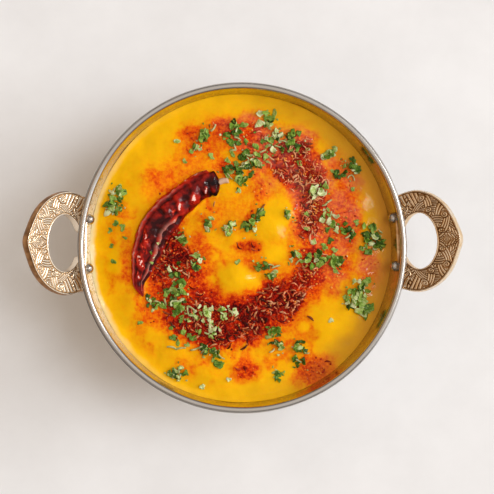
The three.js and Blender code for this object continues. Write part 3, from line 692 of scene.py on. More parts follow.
def loop_edges(count):
    """The loop's outer edge and the edge of its hole, root to root, in the plane of the face."""
    angle = np.radians(np.linspace(-90, 90, 160))
    point = LOOP_POINT * hump(angle, math.radians(13))
    reach = LOOP_REACH - LOOP_WIDEST - LOOP_POINT + point
    arc = np.stack([LOOP_WIDEST + reach * np.cos(angle), LOOP_HALF_WIDTH * np.sin(angle)], -1)
    foot = np.array([(-3.6, -23.6), (0.5, -24.2), (4.0, -25.3)])
    outer = np.concatenate([foot, arc, foot[::-1] * (1, -1)])
    sweep = np.radians(np.linspace(-152, 152, 160))
    inner = np.stack([HOLE_CENTRE + HOLE_RADII[0] * np.cos(sweep), HOLE_RADII[1] * np.sin(sweep)], -1)
    inner = np.concatenate([[(-0.6, -5.6)], inner, [(-0.6, 5.6)]])
    return even_steps(outer, count), even_steps(inner, count)


def ridges(field, spacing, groove):
    """Rounded ridges with a narrow groove wherever the field passes a multiple of the spacing."""
    gap = np.abs((field / spacing) % 1.0 - 0.5) * spacing
    return 1 - hump(0.5 * spacing - gap, groove)


# bundles of the braid: where they cross the middle of the band, how they lean, how they bow
BRAID = [
    (48.5, -1.9, 3.2), (43.5, 1.5, -3.2), (39.0, -0.9, 2.4), (34.5, 1.2, -1.0), (30.5, -0.8, -2.0),
    (26.0, 1.1, 1.8), (21.5, -1.0, 1.5), (17.5, 0.9, -2.2), (13.0, -0.9, -1.6), (8.8, 1.2, 1.4),
]
VOLUTES = [
    (41.0, -2.2, 2.2, 1), (32.5, 2.4, 2.2, -1), (23.8, -2.6, 2.1, 1), (15.2, 2.6, 2.1, -1),
    (6.6, -2.9, 1.8, 1),
]


def engraving(s, w, groove):
    """Height, 0 in a cut line to 1 on a ridge, over one half of a face: s along the loop (0 at the
    tip, 50 at the root), w across it (+ towards the outer edge), in millimetres."""
    # ground: strands that run along the band in a slow wave
    height = ridges(w + 0.9 * np.sin(0.5 * s) + 0.25 * s, 1.35, groove)

    def lay(inside, local):
        """Lays a motif over what is there, with a cut line round it."""
        nonlocal height
        height = np.where(inside > 0, local, height)
        height = np.minimum(height, 1 - hump(inside, groove))

    # braid: bundles of three strands that cross the band in a curve, each over the one before
    for cs, lean, bow in BRAID:
        away = (s - cs - lean * w - bow * (w / 5) ** 2) / math.hypot(1, lean)
        lay(2.1 - np.abs(away), ridges(away + 0.7, 1.4, groove))
    # volutes where the bundles curl in
    for cs, cw, size, way in VOLUTES:
        far = np.hypot(s - cs, w - cw)
        turn = np.arctan2(w - cw, s - cs)
        lay(size - far, ridges(far + way * 1.3 * turn / TURN, 1.3, groove))
    # eye at the tip, with beads round its outer side
    eye = np.abs(s) / 2.9 + np.abs(w + 0.9) / 3.0
    lay(2.9 * (1 - eye), ridges(eye * 2.9 + 0.3, 1.15, groove))
    for k in range(5):
        angle = math.radians(90 - 24 * k)
        away = np.hypot(s - 5.0 * math.cos(angle), w + 1.2 - 5.0 * math.sin(angle))
        lay(0.62 - away, np.sqrt(np.clip(1 - (away / 0.75) ** 2, 0, 1)))
    return height


# the engraved pattern from the tip to a root, its width, and the plain border beside it
PATTERN_LENGTH = 50.0
PATTERN_WIDTH = 11.4
BORDER = 0.9
# a recess has a depth of 0 to 1; these stand for it on the sides that have no engraving, and the flank's
# is a mark of its own
FLANK = -1.0
UNDERSIDE, HOLE_SIDE, PAD_SIDE = 0.3, 0.35, 0.4


def handle_body(settings):
    """Points, faces and depths of the recesses of one loop, on the +X side, in millimetres."""
    count, across = settings.stations, settings.across
    outer, inner = loop_edges(count)
    travel = travelled((outer + inner) / 2)
    along = travel - travel[-1] / 2
    width = np.hypot(*(outer - inner).T)
    share = np.linspace(0, 1, across)
    s = np.abs(along)[:, None] * PATTERN_LENGTH / (travel[-1] / 2) * np.ones(across)
    w = (share - 0.5)[None, :] * PATTERN_WIDTH * np.ones((count, 1))
    groove = settings.line / MM
    height = engraving(s, w, groove)
    border = np.minimum(share, 1 - share)[None, :] * width[:, None]
    height = np.where(border < BORDER, 1, height)
    height = np.minimum(height, 1 - hump(border - BORDER, groove))
    hollow = 1 - height
    relief = settings.relief / MM
    worn = 0.05 * rough(s * np.sign(along)[:, None] + 7, w, 5.0, 31)
    face = inner[:, None, :] + (outer - inner)[:, None, :] * share[None, :, None]
    # the rim of the face is rounded off, the sides stand square with a low ridge half way down
    outward = (outer - inner) / width[:, None]
    t = HANDLE_THICKNESS
    side = [
        (0.28, -0.1), (0.45, -0.35), (0.55, -0.9), (0.95, -0.5 * t), (0.5, -t + 0.7), (0.2, -t + 0.15),
        (-0.4, -t),
    ]
    hole = [
        (-0.4, -t), (0.1, -t + 0.15), (0.3, -t + 0.8), (0.35, -0.5 * t), (0.3, -0.8), (0.2, -0.3),
        (0.08, -0.08),
    ]
    lines = [(outer + outward * (out - 0.5), down, FLANK) for out, down in side]
    lines += [(outer * (1 - k / 6) + inner * (k / 6), -t, UNDERSIDE) for k in range(1, 6)]
    lines += [(inner - outward * (out - 0.35), down, HOLE_SIDE) for out, down in hole]
    columns = [np.dstack([face, -relief * hollow + worn])]
    columns += [np.dstack([line[:, None, :], np.full((count, 1), down)]) for line, down, _ in lines]
    hollows = [hollow] + [np.full((count, 1), mark) for _, _, mark in lines]
    grid = np.concatenate(columns, 1)
    ends = np.stack([grid[0].mean(0), grid[-1].mean(0)])
    faces = shell_faces(count, grid.shape[1], turned_over=True)
    points = np.concatenate([grid.reshape(-1, 3), ends])
    hollows = np.concatenate([np.concatenate(hollows, 1).ravel(), [0, 0]])
    # lay the plane of the face on its slope
    rise = math.radians(HANDLE_RISE)
    u, v, n = points.T
    x = HANDLE_ROOT[0] + u * math.cos(rise) - n * math.sin(rise)
    z = HANDLE_ROOT[1] + u * math.sin(rise) + n * math.cos(rise)
    return np.stack([x, v, z], -1), faces, hollows


def pad_body():
    """Points and faces of the riveting pad: a rounded strip lying on the wall."""
    half, corner, thick = PAD["half_width"], PAD["corner"], PAD["thickness"]
    low, high = PAD["bottom"], PAD["top"]
    outline = []
    for cy, cz, start in ((half, high, 0), (-half, high, 90), (-half, low, 180), (half, low, 270)):
        for a in np.radians(np.linspace(start, start + 90, 7)):
            outline.append((cy - math.copysign(corner, cy) + corner * math.cos(a),
                            cz + (corner if cz == low else -corner) + corner * math.sin(a)))
    outline = np.array(outline)
    middle = np.array([0, (low + high) / 2])
    # rings from the middle of the back over the edge to the middle of the face: share of the outline, depth
    steps = [(0.02, 0.06), (0.5, 0.06), (0.9, 0.06), (1.0, 0.06), (1.0, thick - 0.5), (0.98, thick - 0.15)]
    rings = []
    for share, depth in steps + [(0.93, thick), (0.5, thick), (0.02, thick)]:
        spots = middle + (outline - middle) * share
        radius = wall_radius(spots[:, 1], WALL / 2) + depth
        rings.append(round_points(radius, spots[:, 0] / PAD["bend"], spots[:, 1]))
    ends = np.stack([rings[0].mean(0), rings[-1].mean(0)])
    return np.concatenate([*rings, ends]), shell_faces(len(rings), len(outline))


def cast_brass(settings):
    """Cast and chased brass, rubbed bright on what stands out and left tarnished in the recesses,
    with the pitted skin of a sand casting, pits about 0.6 mm across."""
    material, tree, place = new_material("cast_brass")
    recess = add(tree, "ShaderNodeAttribute", attribute_name="hollow").outputs["Fac"]
    pits = add(tree, "ShaderNodeTexNoise", {"Vector": place, "Scale": 1 / (0.6 * MM), "Detail": 2.0})
    drift = patches(tree, place, 5, -0.12, 0.3, 0.35, 0.75, Detail=4.0, Roughness=0.6)
    dark = add(tree, "ShaderNodeMath", {0: recess, 1: drift}, operation="ADD")
    tone = add(
        tree, "ShaderNodeValToRGB",
        {"Fac": dark},
        stops=[(0.0, "#F4E3CC"), (0.22, settings.bright), (0.5, "#C8935E"), (1.0, settings.dark)],
    )
    gloss = add(
        tree, "ShaderNodeMapRange",
        {"Value": dark, "From Min": 0.0, "From Max": 1.0, "To Min": 0.24, "To Max": 0.55},
    )
    bump = add(tree, "ShaderNodeBump", {"Height": pits, "Strength": 0.25, "Distance": 0.06 * MM})
    shader = add(
        tree, "ShaderNodeBsdfPrincipled",
        {"Base Color": tone, "Metallic": 1.0, "Roughness": gloss, "Normal": bump},
    )
    add(tree, "ShaderNodeOutputMaterial", {"Surface": shader})
    return material


# tarnish and painted light of each handle: on the ridges of its face, what a full recess adds, on the outer
# flank, and the power of a recess's depth that it follows, so that a high one leaves all but the deepest cuts
# bright. The left handle's face is painted brighter, as lit, and its outer flank darker, as shaded; the
# tarnish in the recesses is the brass's own
TARNISH_AND_LIGHT = {"handle_left": (-0.3, 1.1, 0.68, 2.6), "handle_right": (-0.05, 1.0, 0.1, 1.1)}


class KADHAI_OT_handles(Operator):
    """Cast both brass loops with their engraved faces"""

    bl_idname = "kadhai.handles"
    bl_label = "Handles"

    def execute(self, context):
        settings = context.scene.kadhai_brass
        points, faces, hollow = handle_body(settings)
        pad, pad_faces = pad_body()
        whole = np.concatenate([points, pad])
        faces = faces + [face + len(points) for face in pad_faces]
        hollow = np.concatenate([hollow, np.full(len(pad), PAD_SIDE)])
        material = cast_brass(settings)
        for node, turn in HANDLE_TURNS.items():
            c, s = math.cos(math.radians(turn)), math.sin(math.radians(turn))
            x, y, z = whole.T
            placed = np.stack([x * c - y * s, x * s + y * c, z], -1)
            # the tarnish in the recesses, with painted light on the left handle's face and painted shade on
            # its flank
            ridge, recess, flank, power = TARNISH_AND_LIGHT[node]
            stain = np.where(hollow == FLANK, flank, ridge + recess * np.clip(hollow, 0, 1) ** power)
            handle = new_mesh(f"brass_{node}", placed, faces, {"hollow": stain})
            handle.data.materials.append(material)
            keep(handle, "handle_brass", node)
        return {"FINISHED"}


# ---- dal -----------------------------------------------------------------------------------------


def settled(cosine):
    """How much lower the dal has settled at the wall, by the cosine of the azimuth: most on the left."""
    return np.where(cosine < 0, 3.8, 2.4) * cosine**2


def dal_height(x, y):
    """Height of the dal's surface, without its fine grain."""
    height = np.full_like(np.asarray(x, float), DAL_LEVEL)
    for cx, cy, radius, rise in SWELLS:
        height += rise * np.exp(-((x - cx) ** 2 + (y - cy) ** 2) / radius**2)
    cx, cy, radius, half, depth = CHANNEL
    ring = (np.hypot(x - cx, y - cy) - radius) / half
    height -= depth * hump(ring)
    height += 0.28 * np.sin(0.21 * x + 1.4 * np.sin(0.11 * y)) * np.cos(0.19 * y + 0.9 * np.sin(0.13 * x))
    radius = np.hypot(x, y)
    drop = settled(x / np.maximum(radius, 1))
    edge = (radius - EDGE_RADIUS + 0.385 * drop) / 2.2
    return height - drop * smooth(60, 76, radius) + EDGE_CLIMB * hump(edge)


def ring_share(x, y):
    """Depth of the oil in the ring, 0 to 1."""
    cx, cy = OIL_MIDDLE
    angle = np.degrees(np.arctan2(y - cy, x - cx)) % 360
    radius = np.hypot(x - cx, y - cy)
    keys = np.array(OIL_RING, float)
    keys = np.concatenate([keys[-1:] - (360, 0, 0, 0), keys, keys[:1] + (360, 0, 0, 0)])
    start, end, dark = (np.interp(angle, keys[:, 0], keys[:, k]) for k in (1, 2, 3))
    wave = 3.2 * rough(x, y, 11, 3) + 2.6 * rough(x, y, 3.2, 5)
    inside = smooth(-5.5, 9, radius - start + wave)
    outside = smooth(-6, 9, end - radius + 1.2 * wave)
    stirred = 1 + 0.3 * rough(x, y, 8, 7) + 0.16 * rough(x, y, 2.6, 9)
    return dark * stirred * inside * outside


def oil_depth(x, y):
    """Depth of the chilli oil, 0 to 1."""
    depth = ring_share(x, y)
    wave = 0.22 * rough(x, y, 7, 11) + 0.1 * rough(x, y, 2.4, 12)
    for *patch, dark in OIL_PATCHES:
        depth = np.maximum(depth, dark * (1 - smooth(0.35, 1.35, oval(x, y, *patch) + wave)))
    far = np.hypot(x, y)
    stain = 0.14 * smooth(0.1, 0.7, rough(x, y, 17, 21) * 0.5 + 0.42) * smooth(76, 60, far)
    # and thin streaks that the spoon drew through the dal
    drawn = 1 - 2.6 * np.abs(rough(x + 2 * rough(x, y, 9, 27), y, 12, 25, 3))
    streaks = 0.26 * smooth(0.2, 1.0, drawn) * smooth(-0.3, 0.4, rough(x, y, 14, 29)) * smooth(77, 66, far)
    depth = np.maximum(depth, stain) + streaks * (1 - smooth(0.1, 0.5, depth))
    for island in OIL_ISLANDS:
        depth = depth * smooth(0.45, 1.25, oval(x, y, *island) + wave)
    return np.clip(depth, 0, 1)


def clear_pool(x, y):
    """1 where the oil stands clear, with nothing floating in it: along the inner lower edge."""
    angle = np.degrees(np.arctan2(y - OIL_MIDDLE[1], x - OIL_MIDDLE[0])) % 360
    radius = np.hypot(x - OIL_MIDDLE[0], y - OIL_MIDDLE[1])
    lower = smooth(212, 228, angle) * smooth(286, 262, angle)
    return lower * smooth(40, 34, radius + 2 * rough(x, y, 6, 99))


def chilli_curve(place):
    """The smooth line through the chilli's path at a place counted in path points, and its direction."""
    points = np.array(CHILLI_PATH, float)
    padded = np.concatenate([[2 * points[0] - points[1]], points, [2 * points[-1] - points[-2]]])
    i = np.minimum(place.astype(int), len(points) - 2)
    f = (place - i)[..., None]
    a, b, c, d = (padded[i + k] for k in range(4))
    spot = 0.5 * (2 * b + (c - a) * f + (2 * a - 5 * b + 4 * c - d) * f**2 + (3 * b - a - 3 * c + d) * f**3)
    run = 0.5 * ((c - a) + 2 * (2 * a - 5 * b + 4 * c - d) * f + 3 * (3 * b - a - 3 * c + d) * f**2)
    return spot, run / np.linalg.norm(run, axis=-1, keepdims=True)


def chilli_line(t):
    """Middle of the chilli at t (0 stem, 1 tip, even along its length) and its direction, in plan."""
    places = np.linspace(0, len(CHILLI_PATH) - 1, 400)
    travel = travelled(chilli_curve(places)[0])
    return chilli_curve(np.interp(np.asarray(t, float), travel / travel[-1], places))


def chilli_half_width(t):
    """Half the chilli's width at t: blunt at the stem, widest before the middle, pointed at the tip."""
    stem, widest = CHILLI_HALF_WIDTH
    body = stem + (widest - stem) * smooth(0.04, 0.42, t)
    blunt = np.sqrt(np.minimum(1, t / 0.06 + 0.5)) * np.sqrt(1 - np.clip(1 - t / 0.035, 0, 1) ** 2)
    tip = 1 - (np.maximum(0, t - CHILLI_TAPER) / (1.01 - CHILLI_TAPER)) ** 2
    return body * blunt * tip


def chilli_bed(x, y):
    """How far each spot lies from the chilli's middle line, in half widths, and the half width there."""
    t = np.linspace(0, 1, 90)
    line, _ = chilli_line(t)
    near = np.hypot(x[..., None] - line[:, 0], y[..., None] - line[:, 1])
    best = near.argmin(-1)
    half = np.maximum(chilli_half_width(t), 0.8)[best]
    return near.min(-1) / half, half


def disc_grid(cells):
    """A square grid pressed into a disc of radius 1, with even cells, and its quads and rim."""
    a, b = np.meshgrid(np.linspace(-1, 1, cells + 1), np.linspace(-1, 1, cells + 1), indexing="ij")
    wide = np.abs(a) > np.abs(b)
    radius = np.where(wide, a, b)
    safe_a, safe_b = np.where(a == 0, 1, a), np.where(b == 0, 1, b)
    turn = np.where(wide, math.pi / 4 * b / safe_a, math.pi / 2 - math.pi / 4 * a / safe_b)
    x, y = radius * np.cos(turn), radius * np.sin(turn)
    index = np.arange((cells + 1) ** 2).reshape(cells + 1, cells + 1)
    quads = np.stack([index[:-1, :-1], index[1:, :-1], index[1:, 1:], index[:-1, 1:]], -1).reshape(-1, 4)
    rim = np.concatenate([index[:-1, 0], index[-1, :-1], index[:0:-1, -1], index[0, :0:-1]])
    return x.ravel(), y.ravel(), quads, rim


def lentils_under_oil(settings):
    """Boiled, whisked lentils, opaque and slightly waxy, under chilli oil that lies in it as a clear
    red film: the deeper the film, the darker. Lentil skins show as specks about 0.8 mm across."""
    material, tree, place = new_material("boiled_lentils_under_chilli_oil")
    depth = add(tree, "ShaderNodeAttribute", attribute_name="oil").outputs["Fac"]
    specks = add(
        tree, "ShaderNodeTexNoise",
        {"Vector": place, "Scale": 1 / (1.6 * MM), "Detail": 3.0, "Roughness": 0.6},
    )
    fine = add(
        tree, "ShaderNodeMapRange",
        {"Value": specks, "From Min": 0.3, "From Max": 0.7, "To Min": -0.3, "To Max": 0.3},
    )
    share = add(tree, "ShaderNodeMath", {0: depth, 1: 0.14}, operation="ADD")
    stir = add(tree, "ShaderNodeMath", {0: fine, 1: share}, operation="MULTIPLY")
    film = add(tree, "ShaderNodeMath", {0: depth, 1: stir}, operation="ADD")
    tone = add(
        tree, "ShaderNodeValToRGB",
        {"Fac": film},
        stops=[
            (0.0, settings.yellow), (0.13, "#FBAC06"), (0.3, settings.orange), (0.46, "#E95606"),
            (0.62, settings.red), (0.82, "#961204"), (1.0, settings.maroon),
        ],
    )
    shade = patches(tree, place, 9, 0.9, 1.04)
    body = add(tree, "ShaderNodeVectorMath", {0: tone, "Scale": shade}, operation="SCALE")
    # painted light: the dal's edge on the lit left is painted pale cream
    lit_edge = add(tree, "ShaderNodeAttribute", attribute_name="lit_edge").outputs["Fac"]
    dried = add(tree, "ShaderNodeMix", {"Factor": lit_edge, "A": body, "B": rgba("#E6D3A0")}, data_type="RGBA")
    # painted sheen: the oil at the back and on the right is painted paler and pinker
    painted_sheen = add(tree, "ShaderNodeAttribute", attribute_name="painted_sheen").outputs["Fac"]
    sheened = add(
        tree, "ShaderNodeMix", {"Factor": painted_sheen, "A": dried, "B": rgba("#F2D6BE")}, data_type="RGBA",
    )
    # painted shadow: along the right wall the dal is painted brown where the wall shades it
    wall_shade = add(tree, "ShaderNodeAttribute", attribute_name="wall_shadow").outputs["Fac"]
    whole = add(
        tree, "ShaderNodeMix", {"Factor": wall_shade, "A": sheened, "B": rgba("#BE7C30")}, data_type="RGBA",
    )
    bump = add(tree, "ShaderNodeBump", {"Height": specks, "Strength": 0.3, "Distance": 0.2 * MM})
    shader = add(
        tree, "ShaderNodeBsdfPrincipled",
        {
            "Base Color": whole, "Roughness": 0.5, "Normal": bump, "Specular IOR Level": 0.0,
            "Coat Weight": 0.12, "Coat Roughness": 0.09, "Coat Normal": bump, "Subsurface Weight": 0.1,
            "Subsurface Radius": (1.0, 0.4, 0.05), "Subsurface Scale": 1.5 * MM,
        },
    )
    add(tree, "ShaderNodeOutputMaterial", {"Surface": shader})
    return material


class KADHAI_OT_dal(Operator):
    """Pour the dal, level with its toppings, and run the oil over it"""

    bl_idname = "kadhai.dal"
    bl_label = "Dal"

    def execute(self, context):
        settings = context.scene.kadhai_dal
        x, y, quads, rim = disc_grid(settings.cells)
        far = np.hypot(x, y)
        turn = np.arctan2(y, x)
        # the dal clings a little higher on the wall here and there
        cling = 0.1 + 0.7 * smooth(-0.2, 1.0, rough(70 * np.cos(turn), 70 * np.sin(turn), 16, 41))
        level = DAL_LEVEL + EDGE_CLIMB + cling - settled(np.cos(turn))
        edge = wall_radius(level, -WALL / 2) + 0.04
        inner = wall_radius(level - cling - EDGE_CLIMB, -WALL / 2)
        # all but the last cells keep to the flat surface, the last ones climb the wall
        radius = far * (inner - 0.5)
        climb = smooth(0.975, 1.0, far)
        radius = radius * (1 - climb) + edge * climb
        x, y = radius * np.cos(turn), radius * np.sin(turn)
        oil = oil_depth(x, y)
        z = dal_height(x, y)
        grain = settings.grain / MM
        z += grain * (0.6 * rough(x, y, 3.2, 51) + 0.55 * rough(x, y, 1.4, 61, 2)) * (0.5 + 1.3 * oil)
        z += 0.35 * smooth(0.35, 0.95, oil) * rough(x, y, 4.4, 71)
        z += 0.3 * (1 - smooth(0.2, 0.6, oil)) * rough(x, y, 6.5, 75, 2)
        z += climb * cling
        share, half = chilli_bed(x, y)
        # the chilli lies in a bed, with the dal pushed up a little beside it
        belly = CHILLI_FLATNESS * half * np.sqrt(np.maximum(0, 1 - share**2))
        under = dal_height(x, y) + CHILLI_LIFT - belly - 0.3
        beside = z + 0.5 * hump((share - 1.06) * half, 0.9)
        z = np.where(share < 1.0, np.minimum(z, under), beside)
        top = np.stack([x, y, z], -1)
        # sides and underside, out of sight against the steel
        rings = []
        for t in (0.86, 0.62, 0.42, 0.24, 0.0):
            r, h = wall_point(t, -WALL / 2 - 0.05)
            rings.append(round_points(r, turn[rim], h))
        lower = np.concatenate(rings)
        points = np.concatenate([top, lower, [(0, 0, WALL + 0.05)]])
        ladder = np.concatenate([[rim], len(top) + np.arange(len(lower)).reshape(len(rings), -1)])
        faces = list(quads)
        for high, low in zip(ladder[:-1], ladder[1:]):
            faces += list(np.stack([high, low, np.roll(low, -1), np.roll(high, -1)], -1))
        faces += list(cap_faces(ladder[-1], len(points) - 1)[:, ::-1])
        # on the left the edge is painted pale cream, as painted light where the light falls on it; on the
        # right it is painted brown, as the painted shadow of the wall
        left = hump(turn % TURN - math.radians(186), math.radians(36))
        right = hump(turn - math.radians(2), math.radians(60))
        beyond = radius - edge
        marks = {
            "oil": oil,
            "lit_edge": left * smooth(-3.2, -1.0, beyond + 1.1 * rough(x, y, 5, 171)),
            "wall_shadow": 0.85 * right * smooth(-15, -2.5, beyond + 3 * rough(x, y, 9, 173)),
            # at the back and on the right the oil is painted a little paler and pinker: a painted sheen
            "painted_sheen": 0.07 * smooth(24, 50, x + 0.7 * y) * smooth(0.1, 0.4, oil)
            * smooth(-0.6, 0.4, rough(x, y, 6, 175)),
        }
        unseen = np.zeros(len(points) - len(top))
        marks = {key: np.concatenate([values, unseen]) for key, values in marks.items()}
        dal = new_mesh("dal_with_oil", points, faces, marks)
        dal.data.materials.append(lentils_under_oil(settings))
        keep(dal, "dal", "dal")
        return {"FINISHED"}


# ---- tempering -----------------------------------------------------------------------------------


def cumin_template(settings):
    """A cumin seed along X: ribbed, pointed, slightly bent."""
    length, width = settings.seed_length / MM, settings.seed_width / MM
    rings, sides = 7, 8
    points = []
    for k in range(rings):
        t = (k + 0.5) / rings
        thick = width / 2 * math.sin(math.pi * t) ** 0.6
        for i in range(sides):
            angle = TURN * i / sides
            rib = 1.12 if i % 2 else 0.9
            bend = 0.09 * length * math.sin(math.pi * t)
            side, up = thick * rib * math.cos(angle) + bend, thick * rib * math.sin(angle)
            points.append(((t - 0.5) * length, side, up))
    ends = [(-0.5 * length, 0, 0), (0.5 * length, 0, 0)]
    return new_mesh("cumin_template", points + ends, shell_faces(rings, sides, turned_over=True))


def strand_template(settings):
    """A curled strand of fried chilli skin along X."""
    length, width = settings.strand_length / MM, settings.strand_width / MM
    rings = 7
    points = []
    for k in range(rings):
        t = (k + 0.5) / rings
        half = width / 2 * math.sin(math.pi * t) ** 0.5
        middle = np.array([(t - 0.5) * length, 0.8 * math.sin(3.4 * t), 0.35 * math.sin(5.5 * t)])
        for side, rise in ((1, 0.1), (0.4, 0.22), (-0.4, 0.22), (-1, 0.1), (-0.5, -0.12), (0.5, -0.12)):
            points.append(middle + (0, side * half, rise))
    ends = [(-0.52 * length, 0, 0.05), (0.52 * length, 0, -0.1)]
    return new_mesh("strand_template", points + ends, shell_faces(rings, 6, turned_over=True))


def crumb_template():
    """A rough crumb of fried spice about 1.4 mm across."""
    draw = np.random.RandomState(CRUMB_SEED)
    points = []
    for radius, height in ((0.42, -0.35), (0.7, 0.0), (0.45, 0.38)):
        for i in range(6):
            angle = TURN * (i + draw.uniform(-0.25, 0.25)) / 6
            far = radius * draw.uniform(0.75, 1.2)
            up = height + draw.uniform(-0.1, 0.1)
            points.append((far * math.cos(angle), 0.8 * far * math.sin(angle), up))
    return new_mesh("crumb_template", points + [(0, 0, -0.5), (0, 0, 0.55)], shell_faces(3, 6))


# a scatter tree's inputs beside the seed: how many to a square metre, how far apart at least, the
# smallest and largest share of the template's size, how far each tilts and how high it lies
SCATTER_SIZES = ("Density", "Spacing", "Smallest", "Largest", "Tilt", "Lift")


def scatter_tree(name, template, material):
    """Scatters a template over a surface: most where its `thick` attribute is highest, each lying
    flat and turned at random, with a shade of its own."""
    tree, entry = new_tree(name, {**dict.fromkeys(SCATTER_SIZES, "Float"), "Seed": "Int"})
    thick = add(tree, "GeometryNodeInputNamedAttribute", {"Name": "thick"}, data_type="FLOAT")
    spots = add(
        tree, "GeometryNodeDistributePointsOnFaces",
        {
            "Mesh": entry.outputs["Geometry"], "Distance Min": entry.outputs["Spacing"],
            "Density Max": entry.outputs["Density"], "Density Factor": thick, "Seed": entry.outputs["Seed"],
        },
        distribute_method="POISSON",
    )
    low = add(tree, "ShaderNodeMath", {0: entry.outputs["Tilt"], 1: -1.0}, operation="MULTIPLY")
    tilt_low = add(tree, "ShaderNodeCombineXYZ", {0: low, 1: low, 2: -math.pi})
    tilt_high = add(
        tree, "ShaderNodeCombineXYZ", {0: entry.outputs["Tilt"], 1: entry.outputs["Tilt"], 2: math.pi},
    )
    draw = add(
        tree, "FunctionNodeRandomValue", {0: tilt_low, 1: tilt_high, "Seed": 3}, data_type="FLOAT_VECTOR",
    )
    spin = add(tree, "FunctionNodeEulerToRotation", {0: draw})
    turn = add(
        tree, "FunctionNodeRotateRotation",
        {"Rotation": spots.outputs["Rotation"], "Rotate By": spin}, rotation_space="LOCAL",
    )
    grow = add(
        tree, "FunctionNodeRandomValue",
        {2: entry.outputs["Smallest"], 3: entry.outputs["Largest"], "Seed": 5}, data_type="FLOAT",
    )
    model = add(tree, "GeometryNodeObjectInfo", {"Object": template})
    many = add(
        tree, "GeometryNodeInstanceOnPoints",
        {
            "Points": spots.outputs["Points"], "Instance": model.outputs["Geometry"], "Rotation": turn,
            "Scale": grow,
        },
    )
    rise = add(tree, "ShaderNodeCombineXYZ", {2: entry.outputs["Lift"]})
    raised = add(tree, "GeometryNodeTranslateInstances", {"Instances": many, "Translation": rise})
    shade = add(tree, "FunctionNodeRandomValue", {2: 0.0, 3: 1.0, "Seed": 9}, data_type="FLOAT")
    marked = add(
        tree, "GeometryNodeStoreNamedAttribute",
        {"Geometry": raised, "Name": "shade", "Value": shade}, data_type="FLOAT", domain="INSTANCE",
    )
    return ended(tree, marked, material)


def oiled_scrap(name, tones, roughness):
    """Fried spice, wet with oil: dark skin, each piece of its own shade."""
    material, tree, place = new_material(name)
    own = add(tree, "ShaderNodeAttribute", attribute_name="shade").outputs["Fac"]
    drift = patches(tree, place, 0.9, -0.2, 0.2, Detail=2.0)
    # painted sheen: pieces on the right and at the back are painted paler
    sheen_side = add(tree, "ShaderNodeAttribute", attribute_name="sheen_side").outputs["Fac"]
    lift = add(tree, "ShaderNodeMath", {0: sheen_side, 1: 0.38, 2: -0.12}, operation="MULTIPLY_ADD")
    mixed = add(tree, "ShaderNodeMath", {0: own, 1: drift}, operation="ADD")
    pick = add(tree, "ShaderNodeMath", {0: mixed, 1: lift}, operation="ADD")
    tone = add(
        tree, "ShaderNodeValToRGB",
        {"Fac": pick}, stops=list(zip((0.05, 0.4, 0.72, 1.0), tones)),
    )
    shader = add(
        tree, "ShaderNodeBsdfPrincipled",
        {
            "Base Color": tone, "Roughness": roughness, "Specular IOR Level": 0.05, "Coat Weight": 0.25,
            "Coat Roughness": 0.08,
        },
    )
    add(tree, "ShaderNodeOutputMaterial", {"Surface": shader})
    return material


def topping_ground(thick_of, cells=130):
    """A coarser copy of the surface to scatter on, with its `thick` attribute; it is used up."""
    x, y, quads, _ = disc_grid(cells)
    x, y = x * (EDGE_RADIUS - 2.5), y * (EDGE_RADIUS - 2.5)
    share, _ = chilli_bed(x, y)
    thick = thick_of(x, y) * smooth(1.05, 1.25, share)
    # what lies on the right and at the back is painted paler: a painted sheen
    sheen_side = np.maximum(smooth(8, 40, x + 0.8 * y), 0.6 * smooth(5, 35, x))
    spots = np.stack([x, y, dal_height(x, y)], -1)
    return new_mesh("topping_ground", spots, quads, {"thick": thick, "sheen_side": sheen_side})


def seed_thickness(x, y):
    """Where the cumin lies: in the deep oil, thickest along the lower side of the ring."""
    deep = smooth(0.5, 0.95, oil_depth(x, y)) * (1 - 0.9 * clear_pool(x, y))
    clumps = 0.4 + 0.6 * smooth(-0.35, 0.25, rough(x, y, 9, 81))
    stray = 0.01 * smooth(70, 55, np.hypot(x, y))
    return np.clip(deep * clumps + stray, 0, 1)


def strand_thickness(x, y):
    """Where the chilli strands lie: wherever the oil is red, in drifts."""
    drifts = 0.25 + 0.75 * smooth(-0.3, 0.3, rough(x, y, 7, 91))
    return np.clip(smooth(0.42, 0.8, oil_depth(x, y)) * (1 - 0.9 * clear_pool(x, y)) * drifts, 0, 1)


def crumb_thickness(x, y):
    """Where the crumbs lie: over all of the oil, thinning out on the stained dal round it."""
    drifts = 0.3 + 0.7 * smooth(-0.3, 0.3, rough(x, y, 6, 95))
    return np.clip(smooth(0.25, 0.75, oil_depth(x, y)) * (1 - 0.8 * clear_pool(x, y)) * drifts, 0, 1)


